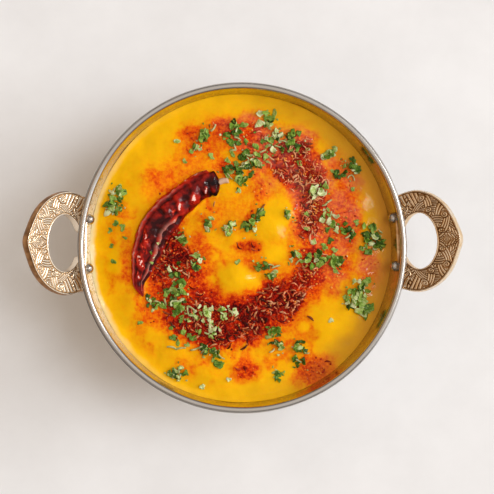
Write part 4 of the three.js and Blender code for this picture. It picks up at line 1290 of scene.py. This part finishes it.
class KADHAI_OT_tempering(Operator):
    """Scatter fried cumin, chilli strands and crumbs where the oil carried them"""

    bl_idname = "kadhai.tempering"
    bl_label = "Tempering"

    def execute(self, context):
        settings = context.scene.kadhai_tempering
        kinds = [
            (
                "cumin_seeds", cumin_template(settings), seed_thickness,
                oiled_scrap("fried_cumin_seed", ["#3C1206", "#84341A", "#BE7040", "#E4A87C"], 0.4),
                (settings.seed_density, 1.2 * MM, 0.66, 1.08, 0.3, 0.35 * MM),
            ),
            (
                "chilli_strands", strand_template(settings), strand_thickness,
                oiled_scrap("fried_chilli_strand", ["#5C0A05", "#9E200C", "#D4582A", "#F0A272"], 0.35),
                (settings.strand_density, 0.8 * MM, 0.5, 1.25, 0.5, 0.3 * MM),
            ),
            (
                "spice_crumbs", crumb_template(), crumb_thickness,
                oiled_scrap("fried_spice_crumb", ["#7E1006", "#BE340C", "#E8661C", "#F9AA4C"], 0.4),
                (settings.crumb_density, 0.7 * MM, 0.35, 1.15, 1.2, 0.15 * MM),
            ),
        ]
        for number, (name, template, thick_of, skin, sizes) in enumerate(kinds):
            tree = scatter_tree(f"{name}_on_oil", template, skin)
            values = dict(zip(SCATTER_SIZES, map(float, sizes)), Seed=settings.seed + 4 * number)
            keep(grown(topping_ground(thick_of), tree, name, values), "dal")
            bpy.data.objects.remove(template)
        return {"FINISHED"}


# ---- dried chilli --------------------------------------------------------------------------------


# the char that marks the stub of the stalk, past any of the skin's
STALK_CHAR = 2.0


def chilli_skin(settings):
    """Sun-dried chilli fried in oil: thin leathery skin with a wet gloss, painted nearly black in its dents
    and folds as shade, scarlet on the rims of its folds as light, with painted pale highlights and a
    charred stem end. Wrinkles run over it, 2.4 mm apart and finer."""
    material, tree, place = new_material("oiled_dried_chilli_skin")
    skin_shading = add(tree, "ShaderNodeAttribute", attribute_name="skin_shading").outputs["Fac"]
    char_and_shade = add(tree, "ShaderNodeAttribute", attribute_name="char_and_shade").outputs["Fac"]
    wrinkles = add(
        tree, "ShaderNodeTexNoise",
        {"Vector": place, "Scale": 1 / (2.4 * MM), "Detail": 2.0, "Roughness": 0.6},
        noise_type="RIDGED_MULTIFRACTAL",
    )
    drift = patches(tree, place, 3, -0.22, 0.22)
    level = add(tree, "ShaderNodeMath", {0: skin_shading, 1: drift}, operation="ADD")
    tone = add(
        tree, "ShaderNodeValToRGB",
        {"Fac": level},
        stops=[
            (0.05, "#380606"), (0.32, "#7C0E08"), (0.58, settings.skin), (0.8, "#CE2C10"),
            (0.92, "#E4603C"), (1.0, "#F6C8BC"),
        ],
    )
    burnt_and_shaded = add(tree, "ShaderNodeMix", {"Factor": char_and_shade, "A": tone, "B": rgba("#1A0507")}, data_type="RGBA")
    # painted highlight: a pale line along the pleat and the outer seam
    pleat = add(tree, "ShaderNodeAttribute", attribute_name="pleat").outputs["Fac"]
    worn = add(tree, "ShaderNodeMix", {"Factor": pleat, "A": burnt_and_shaded, "B": rgba("#A6766A")}, data_type="RGBA")
    woody = add(tree, "ShaderNodeMath", {0: char_and_shade, 1: STALK_CHAR - 0.5}, operation="GREATER_THAN")
    skin = add(tree, "ShaderNodeMix", {"Factor": woody, "A": worn, "B": rgba("#D6AE90")}, data_type="RGBA")
    bump = add(tree, "ShaderNodeBump", {"Height": wrinkles, "Strength": 0.12, "Distance": 0.25 * MM})
    shader = add(
        tree, "ShaderNodeBsdfPrincipled",
        {
            "Base Color": skin, "Roughness": 0.5, "Normal": bump, "Specular IOR Level": 0.0,
            "Coat Weight": 0.36, "Coat Roughness": 0.1, "Coat Normal": bump,
        },
    )
    add(tree, "ShaderNodeOutputMaterial", {"Surface": shader})
    return material


# where the drying skin has fallen in: how far along the chilli, the angle round it, how long and how
# wide the dent is (mm and radians), how deep; the angle is 0 on the inner side, 1.6 on top
CHILLI_DENTS = [
    (6.0, 1.1, 1.3, 1.1, 0.24), (12.0, 1.0, 1.7, 1.0, 0.3), (16.5, 2.0, 1.4, 0.6, 0.18),
    (20.5, 1.0, 1.9, 1.0, 0.3), (26.0, 2.1, 2.0, 0.7, 0.2), (29.5, 1.0, 2.0, 0.7, 0.24),
    (34.0, 1.9, 1.9, 0.6, 0.22), (40.5, 1.5, 4.6, 0.55, 0.42), (47.5, 1.9, 1.8, 0.5, 0.24),
    (50.5, 1.1, 1.9, 0.5, 0.26), (55.0, 1.7, 2.2, 0.6, 0.26), (61.0, 1.2, 2.0, 0.7, 0.26),
    (66.0, 1.9, 1.8, 0.7, 0.26), (71.0, 1.2, 1.6, 0.9, 0.26),
]


# painted highlights on the skin, pale spots where the light glints: how far along, angle, length, width
CHILLI_HIGHLIGHTS = [
    (8.5, 1.05, 1.5, 0.2), (17.5, 1.05, 2.2, 0.22), (25.5, 1.3, 1.6, 0.15), (29.5, 1.25, 1.5, 0.17),
    (48.0, 1.98, 3.2, 0.24), (54.5, 1.7, 2.0, 0.2), (60.5, 1.85, 3.6, 0.34), (67.5, 1.8, 2.0, 0.16),
]


def pleat_sway(travel):
    """How far the pleat wanders round the chilli, in radians."""
    return 0.1 * np.sin(0.19 * travel)


def chilli_swelling(t, angle):
    """How far the skin stands out (1 is the plain outline), and how deep it has fallen in."""
    travel = CHILLI_LENGTH * t
    around = (angle + 0.5 * math.pi) % TURN
    dents = np.zeros_like(travel)
    wander = 1.2 * rough(travel, 5 * around, 7, 141)
    for along, middle, long, wide, deep in CHILLI_DENTS:
        far = ((travel + wander - along) / long) ** 2
        dents = dents + deep * np.exp(-far - ((angle - middle) / wide) ** 2)
    lower = smooth(0.3, 0.42, t)
    sway = pleat_sway(travel)
    pleat = hump(angle - 0.8 - sway, 0.1) * lower
    groove = hump(angle - 1.06 - sway, 0.16) * lower
    lip = hump(angle - 0.15, 0.45) * lower * (0.1 + 0.22 * t)
    gutter = hump(angle - 0.55 - sway, 0.13) * lower
    end = smooth(0.14, 0.28, t) * smooth(0.96, 0.8, t)
    seam = hump(angle - 2.62, 0.08) * end
    trench = hump(angle - 2.38, 0.14) * end
    crinkle = 1 - 2 * np.abs(rough(travel, 7 * around, 5.0, 101, 2))
    wrinkle = rough(travel + 3 * around, 7 * around - 0.4 * travel, 2.0, 111, 2)
    puckers = rough(travel, 7 * around, 2.6, 151, 2) * smooth(0.22, 0.06, t)
    size = 1 - dents + 0.13 * pleat - 0.12 * groove - 0.1 * gutter + lip + 0.08 * seam - 0.09 * trench
    size = size + 0.08 * (crinkle - 0.5) + 0.03 * wrinkle + 0.2 * puckers
    return size, dents


class KADHAI_OT_chilli(Operator):
    """Dry and fry the whole chilli, with its fallen-in skin, pleated seam and stub of stalk"""

    bl_idname = "kadhai.chilli"
    bl_label = "Dried chilli"

    def execute(self, context):
        settings = context.scene.kadhai_chilli
        count, sides = settings.stations, settings.sides
        # steps along the pod, closer together over the blunt stem end
        steps = np.concatenate([0.035 * np.linspace(0.03, 1, 16) ** 2, np.linspace(0.037, 0.996, count - 16)])
        line, run = chilli_line(steps)
        centre = np.stack([*line.T, dal_height(*line.T) + CHILLI_LIFT], -1)
        across = np.stack([-run[:, 1], run[:, 0]], -1)[:, None, :]
        t, angle = np.meshgrid(steps, np.linspace(0, TURN, sides, endpoint=False), indexing="ij")
        size, dents = chilli_swelling(t, angle)
        reach = chilli_half_width(t) * size
        side, up = reach * np.cos(angle), CHILLI_FLATNESS * reach * np.sin(angle)
        grid = centre[:, None, :] + np.dstack([side * across[..., 0], side * across[..., 1], up])
        ends = np.stack([centre[0] - [*run[0] * 0.05, 0], centre[-1] + [*run[-1] * 0.4, 0]])
        stalk, stalk_faces = stalk_body(5.5, 1.7, 0.5)
        heading = math.atan2(-run[0, 1], -run[0, 0])
        stalk = turned(stalk, heading, 0.12, 0) + centre[0] + (0.8 * run[0, 0], 0.8 * run[0, 1], -0.2)
        points = np.concatenate([grid.reshape(-1, 3), ends])
        faces = shell_faces(count, sides) + [face + len(points) for face in stalk_faces]
        # painted light and shade: the rims of the folds and the outer edge are painted the reddest, as lit,
        # the dents and the inner flank the darkest, as shaded
        lower = smooth(0.28, 0.42, t)
        rim_light = hump(angle - 2.95, 0.4) + 0.9 * hump(angle - 0.8, 0.13) * lower
        skin_shading = 0.47 + 2.8 * (size + dents - 1) - 1.8 * dents + 0.3 * rim_light
        skin_shading = skin_shading - 0.8 * hump(angle - 0.25, 0.4) * lower
        travel = CHILLI_LENGTH * t
        painted_glints = np.zeros_like(t)
        for along, middle, long, wide in CHILLI_HIGHLIGHTS:
            skew = angle - middle + 0.12 * (travel - along)
            painted_glints = painted_glints + np.exp(-(((travel - along) / long) ** 4) - (skew / wide) ** 2)
        torn = smooth(-0.5, 0.15, rough(travel, 9 * angle, 1.0, 181, 2))
        painted_glints = np.clip(painted_glints, 0, 1) * torn
        skin_shading = np.clip(np.clip(skin_shading, 0, 0.85) + 0.9 * painted_glints, 0, 1.4)
        # the stem end is charred; the long hollow is painted dark as shade
        hollow = np.exp(-(((travel - 40.5) / 4.4) ** 2) - (((angle - 1.5) / 0.55) ** 2))
        stem = 1.1 * smooth(0.17, 0.05, t) * smooth(-0.9, 0.2, rough(travel, 6 * angle, 3.5, 121))
        char_and_shade = np.clip(stem + 0.45 * hollow, 0, 1) * (1 - 0.85 * painted_glints)
        # along the pleat and the outer seam a pale line is painted: a painted highlight on their ridges
        pleat = 0.8 * hump(angle - 0.78 - pleat_sway(travel), 0.1) * smooth(0.36, 0.46, t)
        seam = 0.75 * hump(angle - 2.6, 0.055) * smooth(0.2, 0.34, t) * (0.4 + 0.6 * torn)
        pleat = (pleat + seam) * smooth(0.97, 0.88, t)
        # each mark over the skin, at its two end points and on the stub of the stalk
        marks = {
            "skin_shading": (skin_shading, (0.3, 0.3), 0.5),
            "char_and_shade": (char_and_shade, (1, 0.5), STALK_CHAR),
            "pleat": (pleat, (0, 0), 0),
        }
        marks = {
            key: np.concatenate([skin.ravel(), tips, np.full(len(stalk), stub)])
            for key, (skin, tips, stub) in marks.items()
        }
        chilli = new_mesh("whole_dried_chilli", np.concatenate([points, stalk]), faces, marks)
        chilli.data.materials.append(chilli_skin(settings))
        keep(chilli, "dried_chilli", "dried_chilli")
        return {"FINISHED"}


# ---- coriander -----------------------------------------------------------------------------------


def chopped_blade(size, draw):
    """A scrap of leaf cut by the knife: its upper skin round the origin, the faces, and a flat UV."""
    rays, rings = 18, 3
    phi = np.linspace(0, TURN, rays, endpoint=False)
    narrow = draw.uniform(0.35, 0.9)
    reach = 0.5 * size / np.sqrt(np.cos(phi) ** 2 + (np.sin(phi) / narrow) ** 2)
    reach *= 1 + 0.2 * np.cos(draw.choice([2, 3, 4]) * phi + draw.uniform(0, 6))
    reach *= 1 + 0.12 * np.cos(draw.choice([5, 6, 7]) * phi + draw.uniform(0, 6))
    for _ in range(draw.choice([1, 2, 2])):
        across = np.cos(phi - draw.uniform(0, TURN))
        cut = draw.uniform(0.14, 0.36) * size / np.maximum(across, 0.15)
        reach = np.where(across > 0.15, np.minimum(reach, cut), reach)
    rho = np.linspace(0, 1, rings + 1)[1:, None]
    u, v = rho * reach * np.cos(phi), rho * reach * np.sin(phi)
    way, shift = draw.uniform(0, math.pi), draw.uniform(0, 200)
    along, over = u * math.cos(way) + v * math.sin(way), -u * math.sin(way) + v * math.cos(way)
    n = draw.uniform(-0.6, 1.6) * along**2 / size + draw.uniform(-0.4, 0.7) * over**2 / size
    n = n + 0.13 * size * rough(u + shift, v - shift, 0.5 * size, 131, 2)
    top = np.concatenate([[(0, 0, 0)], np.stack([u, v, n], -1).reshape(-1, 3)])
    flat = top[:, :2] / size + 0.5
    spokes = np.arange(1, rays + 1)
    sheet = [(0, int(a), int(b)) for a, b in zip(spokes, np.roll(spokes, -1))]
    sheet += [tuple(map(int, q)) for q in tube_faces(rings, rays) + 1]
    return top, [f if len(f) == 3 else f[::-1] for f in sheet], flat


def thickened(top, sheet, thickness):
    """The sheet with a second skin under it and a closed edge."""
    count = len(top)
    points = np.concatenate([top, top - (0, 0, thickness)])
    faces = list(sheet) + [tuple(i + count for i in f[::-1]) for f in sheet]
    edges = dict.fromkeys((a, b) for f in sheet for a, b in zip(f, f[1:] + f[:1]))
    faces += [(b, a, a + count, b + count) for a, b in edges if (b, a) not in edges]
    return points, faces


def stalk_body(length, radius, bow):
    """Points and faces of a cut stalk along X, closed at both ends."""
    rings, sides = 6, 8
    around = np.linspace(0, TURN, sides, endpoint=False)
    t, angle = np.meshgrid(np.linspace(0, 1, rings), around, indexing="ij")
    thick = radius * (1 - 0.25 * t)
    spots = np.dstack([t * length, bow * np.sin(math.pi * t) + thick * np.cos(angle), thick * np.sin(angle)])
    points = np.concatenate([spots.reshape(-1, 3), [(0, 0, 0), (length, 0, 0)]])
    return points, shell_faces(rings, sides, turned_over=True)


def coriander_leaf(settings):
    """Fresh coriander blade, thin and soft: matt green with paler veins fanning from the foot, and a
    sheen where it is wet. Its shade is painted: dark as shaded, pale as lit from above."""
    material, tree, place = new_material("coriander_leaf")
    surface = add(tree, "ShaderNodeUVMap", uv_map="surface")
    own = add(tree, "ShaderNodeAttribute", attribute_name="shade").outputs["Fac"]
    split = add(tree, "ShaderNodeSeparateXYZ", {"Vector": surface})
    wave = add(tree, "ShaderNodeMath", {0: split.outputs["Y"], 1: TURN * 5}, operation="MULTIPLY")
    comb = add(tree, "ShaderNodeMath", {0: wave}, operation="COSINE")
    vein = add(
        tree, "ShaderNodeMapRange",
        {"Value": comb, "From Min": 0.8, "From Max": 1.0, "To Min": 0.0, "To Max": 0.22},
    )
    drift = patches(tree, place, 2.2, -0.2, 0.2)
    level = add(tree, "ShaderNodeMath", {0: own, 1: drift}, operation="ADD")
    total = add(tree, "ShaderNodeMath", {0: level, 1: vein}, operation="ADD")
    # painted light and shade: a scrap runs from dark, where it lies low and shaded, to pale, where light
    # falls
    tone = add(
        tree, "ShaderNodeValToRGB",
        {"Fac": total},
        stops=[
            (0.0, settings.dark), (0.3, "#567C1C"), (0.56, "#88A83C"), (0.82, "#B4C56C"),
            (1.0, settings.pale),
        ],
    )
    bump = add(tree, "ShaderNodeBump", {"Height": comb, "Strength": 0.3, "Distance": 0.12 * MM})
    shader = add(
        tree, "ShaderNodeBsdfPrincipled",
        {"Base Color": tone, "Roughness": 0.4, "Normal": bump, "Specular IOR Level": 0.3},
    )
    add(tree, "ShaderNodeOutputMaterial", {"Surface": shader})
    return material


def coriander_stalk(settings):
    """Cut coriander stalk: pale, watery green with a damp sheen."""
    material, tree, place = new_material("coriander_stalk")
    blotch = add(tree, "ShaderNodeTexNoise", {"Vector": place, "Scale": 1 / (1.5 * MM), "Detail": 2.0})
    tone = add(
        tree, "ShaderNodeValToRGB", {"Fac": blotch}, stops=[(0.3, "#8E9A4A"), (0.65, settings.stalk)],
    )
    shader = add(
        tree, "ShaderNodeBsdfPrincipled",
        {"Base Color": tone, "Roughness": 0.3, "Coat Weight": 0.4, "Coat Roughness": 0.15},
    )
    add(tree, "ShaderNodeOutputMaterial", {"Surface": shader})
    return material


def turned(points, heading, tip, roll):
    """Rolls a body about its length, tips it up and turns it about Z; angles in radians."""
    x, y, z = points.T
    y, z = y * math.cos(roll) - z * math.sin(roll), y * math.sin(roll) + z * math.cos(roll)
    x, z = x * math.cos(tip) - z * math.sin(tip), x * math.sin(tip) + z * math.cos(tip)
    x, y = x * math.cos(heading) - y * math.sin(heading), x * math.sin(heading) + y * math.cos(heading)
    return np.stack([x, y, z], -1)


def kept_in(x, y, reach):
    """Draws a spot in from the wall, so that what reaches this far from it stays clear of the steel."""
    share = min(1, (FREE_RADIUS - reach) / math.hypot(x, y))
    return x * share, y * share


def laid(points, x, y, rest):
    """Sets a body down at (x, y) so that it lies on the dal, its lower part just sunk in."""
    placed = points + (x, y, 0)
    ground = dal_height(placed[:, 0], placed[:, 1])
    sink = np.quantile(placed[:, 2] - (ground - ground.mean()), 0.25)
    return np.stack([placed[:, 0], placed[:, 1], placed[:, 2] + ground - sink + rest], -1)


class Pile:
    """Gathers scraps into one mesh: points, faces, the shade of each point, UV and material of each face."""

    def __init__(self, thickness, draw):
        self.thickness, self.draw = thickness, draw
        self.points, self.faces, self.shades, self.flats, self.kinds = [], [], [], [], []
        self.count = 0

    def add(self, body, faces, shade, flat, kind):
        self.points.append(body)
        self.faces.extend(tuple(i + self.count for i in f) for f in faces)
        self.shades.append(np.full(len(body), shade))
        self.flats.append(flat)
        self.kinds.extend([kind] * len(faces))
        self.count += len(body)

    def leaf(self, x, y, size, shade, rest, steep):
        x, y = kept_in(x, y, size / 2)
        top, sheet, flat = chopped_blade(size, self.draw)
        body, faces = thickened(top, sheet, self.thickness)
        heading = self.draw.uniform(0, TURN)
        tip, roll = self.draw.uniform(-steep, steep), self.draw.uniform(-steep, steep)
        body = laid(turned(body, heading, tip, roll), x, y, rest)
        self.add(body, faces, shade, np.concatenate([flat, flat]), 0)

    def stalk(self, x, y, length, thick, rest):
        x, y = kept_in(x, y, length)
        body, faces = stalk_body(length, thick / 2, self.draw.uniform(-0.6, 0.6))
        body = turned(body, self.draw.uniform(0, TURN), self.draw.uniform(-0.2, 0.3), 0)
        self.add(laid(body, x, y, rest), faces, 0.5, np.zeros((len(body), 2)), 1)

    def mesh(self, name, materials):
        shades = {"shade": np.concatenate(self.shades)}
        piece = new_mesh(name, np.concatenate(self.points), self.faces, shades, np.concatenate(self.flats))
        for material in materials:
            piece.data.materials.append(material)
        piece.data.polygons.foreach_set("material_index", np.array(self.kinds, np.int32))
        return piece


def along_leaf(foot, leaf, low, high, spread, draw):
    """A random spot between two shares of a leaf's length, within a spread of its width."""
    length, width, heading, _ = leaf
    ahead = np.array([math.cos(math.radians(heading)), math.sin(math.radians(heading))])
    side = np.array([-ahead[1], ahead[0]])
    return foot + ahead * length * draw.uniform(low, high) + side * width * draw.uniform(-spread, spread)


class KADHAI_OT_coriander(Operator):
    """Strew the chopped coriander: a heap of scraps in each place, and single bits between them"""

    bl_idname = "kadhai.coriander"
    bl_label = "Coriander"

    def execute(self, context):
        settings = context.scene.kadhai_coriander
        thickness = settings.thickness / MM
        finishes = [coriander_leaf(settings), coriander_stalk(settings)]
        for number, (place, (x, y, pale, leaves)) in enumerate(CORIANDER.items()):
            draw = np.random.RandomState(CLUSTER_SEED + number)
            pile = Pile(thickness, draw)
            for leaf in leaves:
                length, width, _, lift = leaf
                scraps = 5 + int(length * width / 9)
                for k in range(scraps):
                    spot = along_leaf((x, y), leaf, 0.05, 0.95, 0.5, draw)
                    size = length * draw.uniform(0.32, 0.66)
                    # painted shade and light: the lowest scraps are painted dark, as shaded, the last to fall
                    # paler, as lit
                    shade = np.clip(pale - 0.3 + 0.55 * k / scraps + draw.normal(0, 0.26), 0, 1)
                    pile.leaf(*spot, size, shade, 0.2 + 1.1 * lift * k / scraps, 0.75)
                for _ in range(draw.choice([0, 1, 1, 2])):
                    spot = along_leaf((x, y), leaf, 0, 0.8, 0.5, draw)
                    pile.stalk(*spot, draw.uniform(2.2, 4.6), draw.uniform(0.7, 1.2), 0.7)
                for _ in range(5):
                    spot = along_leaf((x, y), leaf, -0.3, 1.25, 0.8, draw)
                    pile.leaf(*spot, draw.uniform(0.9, 1.9), draw.uniform(0.2, 1), 0.2, 0.8)
            keep(pile.mesh(f"chopped_coriander_{place}", finishes), "coriander", f"coriander_{place}")
        draw = np.random.RandomState(BITS_SEED)
        bits = Pile(thickness, draw)
        for x, y, size, shade, *stalk in CORIANDER_BITS:
            for _ in range(2 if size > 2 else 1):
                if stalk:
                    bits.stalk(x, y, size, 1.1, 0.4)
                else:
                    spot = (x + draw.uniform(-0.8, 0.8), y + draw.uniform(-0.8, 0.8))
                    bits.leaf(*spot, size, shade, 0.25, 0.4)
        for x, y, size, shade in CHILLI_BITS:
            bits.leaf(x, y, size, shade, CHILLI_LIFT + 3.3, 0.5)
        keep(bits.mesh("coriander_bits", finishes), "coriander")
        return {"FINISHED"}


# ---- stage ---------------------------------------------------------------------------------------


def plaster_table(settings):
    """Pale, matt, lime-washed table top, very slightly mottled, patches about 60 mm across, with a faint warm
    glow painted in that lightens its shadows.
    """
    material, tree, place = new_material("limewashed_table_top")
    cloud = add(
        tree, "ShaderNodeTexNoise",
        {"Vector": place, "Scale": 1 / (60 * MM), "Detail": 5.0, "Roughness": 0.6},
    )
    light = tuple(settings.floor)
    deep = tuple(c * 0.93 for c in light)
    tone = add(tree, "ShaderNodeValToRGB", {"Fac": cloud}, stops=[(0.35, deep), (0.65, light)])
    # painted light: the table top glows faintly warm, which lightens its shadows
    shader = add(
        tree, "ShaderNodeBsdfPrincipled",
        {
            "Base Color": tone, "Roughness": 0.8, "Specular IOR Level": 0.1,
            "Emission Color": (1.0, 0.62, 0.3, 1.0), "Emission Strength": settings.glow,
        },
    )
    add(tree, "ShaderNodeOutputMaterial", {"Surface": shader})
    return material


def area_light(name, place, target, size, power, colour):
    """Hangs a rectangular light at a place in metres, facing the target."""
    light = bpy.data.lights.new(name, "AREA")
    light.shape = "RECTANGLE"
    light.size, light.size_y = size
    light.energy = power
    light.color = colour
    lamp = bpy.data.objects.new(name, light)
    lamp.location = place
    lamp.rotation_euler = (Vector(target) - Vector(place)).to_track_quat("-Z", "Y").to_euler()
    bpy.context.scene.collection.objects.link(lamp)
    return lamp


# middle of the low window light (azimuth 7 degrees, 24 degrees up, 3 m away) and of the small lamp
# that wet things glint with (azimuth 12 degrees, 52 degrees up), and of the soft panel above
WINDOW = (2.72, 0.334, 1.25)
LAMP = (1.807, 0.384, 2.394)
PANEL = (1.08, 0.3, 2.782)

# the camera looks nearly straight down: how far it leans to the left and the front, in degrees, what lies
# in the middle of its view at the height of the rim, and how wide that view is there, in millimetres
VIEW_LEAN = (6.5, 2.3)
VIEW_MIDDLE = (1.7, 0.15)
VIEW_WIDTH = 250.4
# half the side of the table top, in millimetres
TABLE_HALF = 1400


def lobe(tree, towards, low, high, strength):
    """A soft round spot in the world: nothing outside `low`, full inside `high` (cosines)."""
    place = add(tree, "ShaderNodeTexCoord").outputs["Generated"]
    near = add(tree, "ShaderNodeVectorMath", {0: place, 1: towards}, operation="DOT_PRODUCT")
    return add(
        tree, "ShaderNodeMapRange",
        {"Value": near, "From Min": low, "From Max": high, "To Min": 0.0, "To Max": strength},
        interpolation_type="SMOOTHSTEP",
    )


def pale_room():
    """A pale room that is bright overhead and dim near the floor, warm on the left, with the glow of a
    low window on the right and a dark wooden cupboard on the left."""
    world = bpy.data.worlds.new("pale_room")
    world.use_nodes = True
    tree = world.node_tree
    place = add(tree, "ShaderNodeTexCoord").outputs["Generated"]
    split = add(tree, "ShaderNodeSeparateXYZ", {"Vector": place})
    levels = [(0.0, 0.1), (0.3, 0.22), (0.6, 0.45), (0.9, 0.72), (1.0, 0.74)]
    height = add(
        tree, "ShaderNodeValToRGB",
        {"Fac": split.outputs["Z"]}, stops=[(z, (level, level, level)) for z, level in levels],
    )
    side = lobe(tree, (0.99, 0.14, 0.0), -1.0, 1.0, 1.0)
    walls = add(
        tree, "ShaderNodeValToRGB",
        {"Fac": side}, stops=[(0.0, (1.0, 0.88, 0.76)), (1.0, (0.97, 0.95, 0.92))],
    )
    cupboard = lobe(tree, (-0.86, 0.04, 0.51), 0.8, 0.97, 1.0)
    wood = add(
        tree, "ShaderNodeValToRGB",
        {"Fac": cupboard}, stops=[(0.0, (1.0, 1.0, 1.0)), (1.0, (1.1, 0.74, 0.44))],
    )
    window = lobe(tree, (0.95, 0.06, 0.305), 0.8, 0.985, 1.05)
    room = add(tree, "ShaderNodeVectorMath", {0: height, 1: walls}, operation="MULTIPLY")
    room = add(tree, "ShaderNodeVectorMath", {0: room, 1: wood}, operation="MULTIPLY")
    light = add(tree, "ShaderNodeVectorMath", {0: room, 1: window}, operation="ADD")
    backdrop = tree.nodes["Background"]
    tree.links.new(light.outputs[0], backdrop.inputs["Color"])
    return world


class KADHAI_OT_stage(Operator):
    """Lay the table top, hang the lights and aim the camera"""

    bl_idname = "kadhai.stage"
    bl_label = "Stage"

    def execute(self, context):
        settings = context.scene.kadhai_stage
        scene = context.scene
        corners = [(a * TABLE_HALF, b * TABLE_HALF, 0) for a, b in ((-1, -1), (1, -1), (1, 1), (-1, 1))]
        floor = new_mesh("table_top", corners, [(0, 1, 2, 3)])
        floor.data.materials.append(plaster_table(settings))
        floor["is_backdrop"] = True
        window = area_light("window", WINDOW, (0, 0, 0.03), (1.4, 1.2), settings.key, linear("#F6F9FF"))
        window.visible_glossy = False
        lamp = area_light("high_lamp", LAMP, (0, 0, 0.05), (0.6, 0.6), settings.glint, (1.0, 1.0, 1.0))
        lamp.visible_diffuse = False
        panel = area_light("soft_panel", PANEL, (0, 0, 0.05), (1.5, 1.5), settings.panel, (0.97, 1.0, 1.05))
        panel.visible_glossy = False
        scene.world = pale_room()
        scene.view_settings.view_transform = "Standard"

        camera = bpy.data.cameras.new("camera")
        eye = bpy.data.objects.new("camera", camera)
        scene.collection.objects.link(eye)
        scene.camera = eye
        camera.sensor_width = 36.0
        camera.lens = 36.0 * settings.distance / (VIEW_WIDTH * MM)
        target = Vector((VIEW_MIDDLE[0] * MM, VIEW_MIDDLE[1] * MM, (BOWL_HEIGHT - BEAD_RADIUS) * MM))
        back = Vector([-math.sin(math.radians(lean)) for lean in VIEW_LEAN] + [0])
        back.z = math.sqrt(1 - back.x**2 - back.y**2)
        eye.location = target + back * settings.distance
        up = (Vector((0, 1, 0)) - back * back.y).normalized()
        right = up.cross(back)
        eye.rotation_euler = Matrix((right, up, back)).transposed().to_euler()
        camera.clip_end = 10
        return {"FINISHED"}


# ---- panel and registration ------------------------------------------------------------------------

GROUPS = {
    "kadhai_steel": KADHAI_PG_steel,
    "kadhai_brass": KADHAI_PG_brass,
    "kadhai_dal": KADHAI_PG_dal,
    "kadhai_tempering": KADHAI_PG_tempering,
    "kadhai_chilli": KADHAI_PG_chilli,
    "kadhai_coriander": KADHAI_PG_coriander,
    "kadhai_stage": KADHAI_PG_stage,
}
STEPS = [
    KADHAI_OT_stage, KADHAI_OT_bowl, KADHAI_OT_rivets, KADHAI_OT_handles,
    KADHAI_OT_dal, KADHAI_OT_tempering, KADHAI_OT_chilli, KADHAI_OT_coriander,
]


class KADHAI_PT_panel(Panel):
    """Sizes and colours, and a button for each step"""

    bl_idname = "KADHAI_PT_panel"
    bl_label = "Dal in a kadhai"
    bl_space_type = "VIEW_3D"
    bl_region_type = "UI"
    bl_category = "Dal"

    def draw(self, context):
        for key, group in GROUPS.items():
            box = self.layout.box()
            for name in group.__annotations__:
                box.prop(getattr(context.scene, key), name)
        for step in STEPS:
            self.layout.operator(step.bl_idname)


CLASSES = [*GROUPS.values(), *STEPS, KADHAI_PT_panel]


def register():
    for item in CLASSES:
        bpy.utils.register_class(item)
    for key, group in GROUPS.items():
        setattr(bpy.types.Scene, key, PointerProperty(type=group))


def unregister():
    for key in GROUPS:
        delattr(bpy.types.Scene, key)
    for item in reversed(CLASSES):
        bpy.utils.unregister_class(item)


def main():
    register()
    for step in STEPS:
        family, action = step.bl_idname.split(".")
        getattr(getattr(bpy.ops, family), action)()
    rows = {"cad": CAD_BOX, "visual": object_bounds()}
    plain = {key: [list(map(float, corner)) for corner in box] for key, box in rows.items()}


if __name__ == "__main__":
    main()
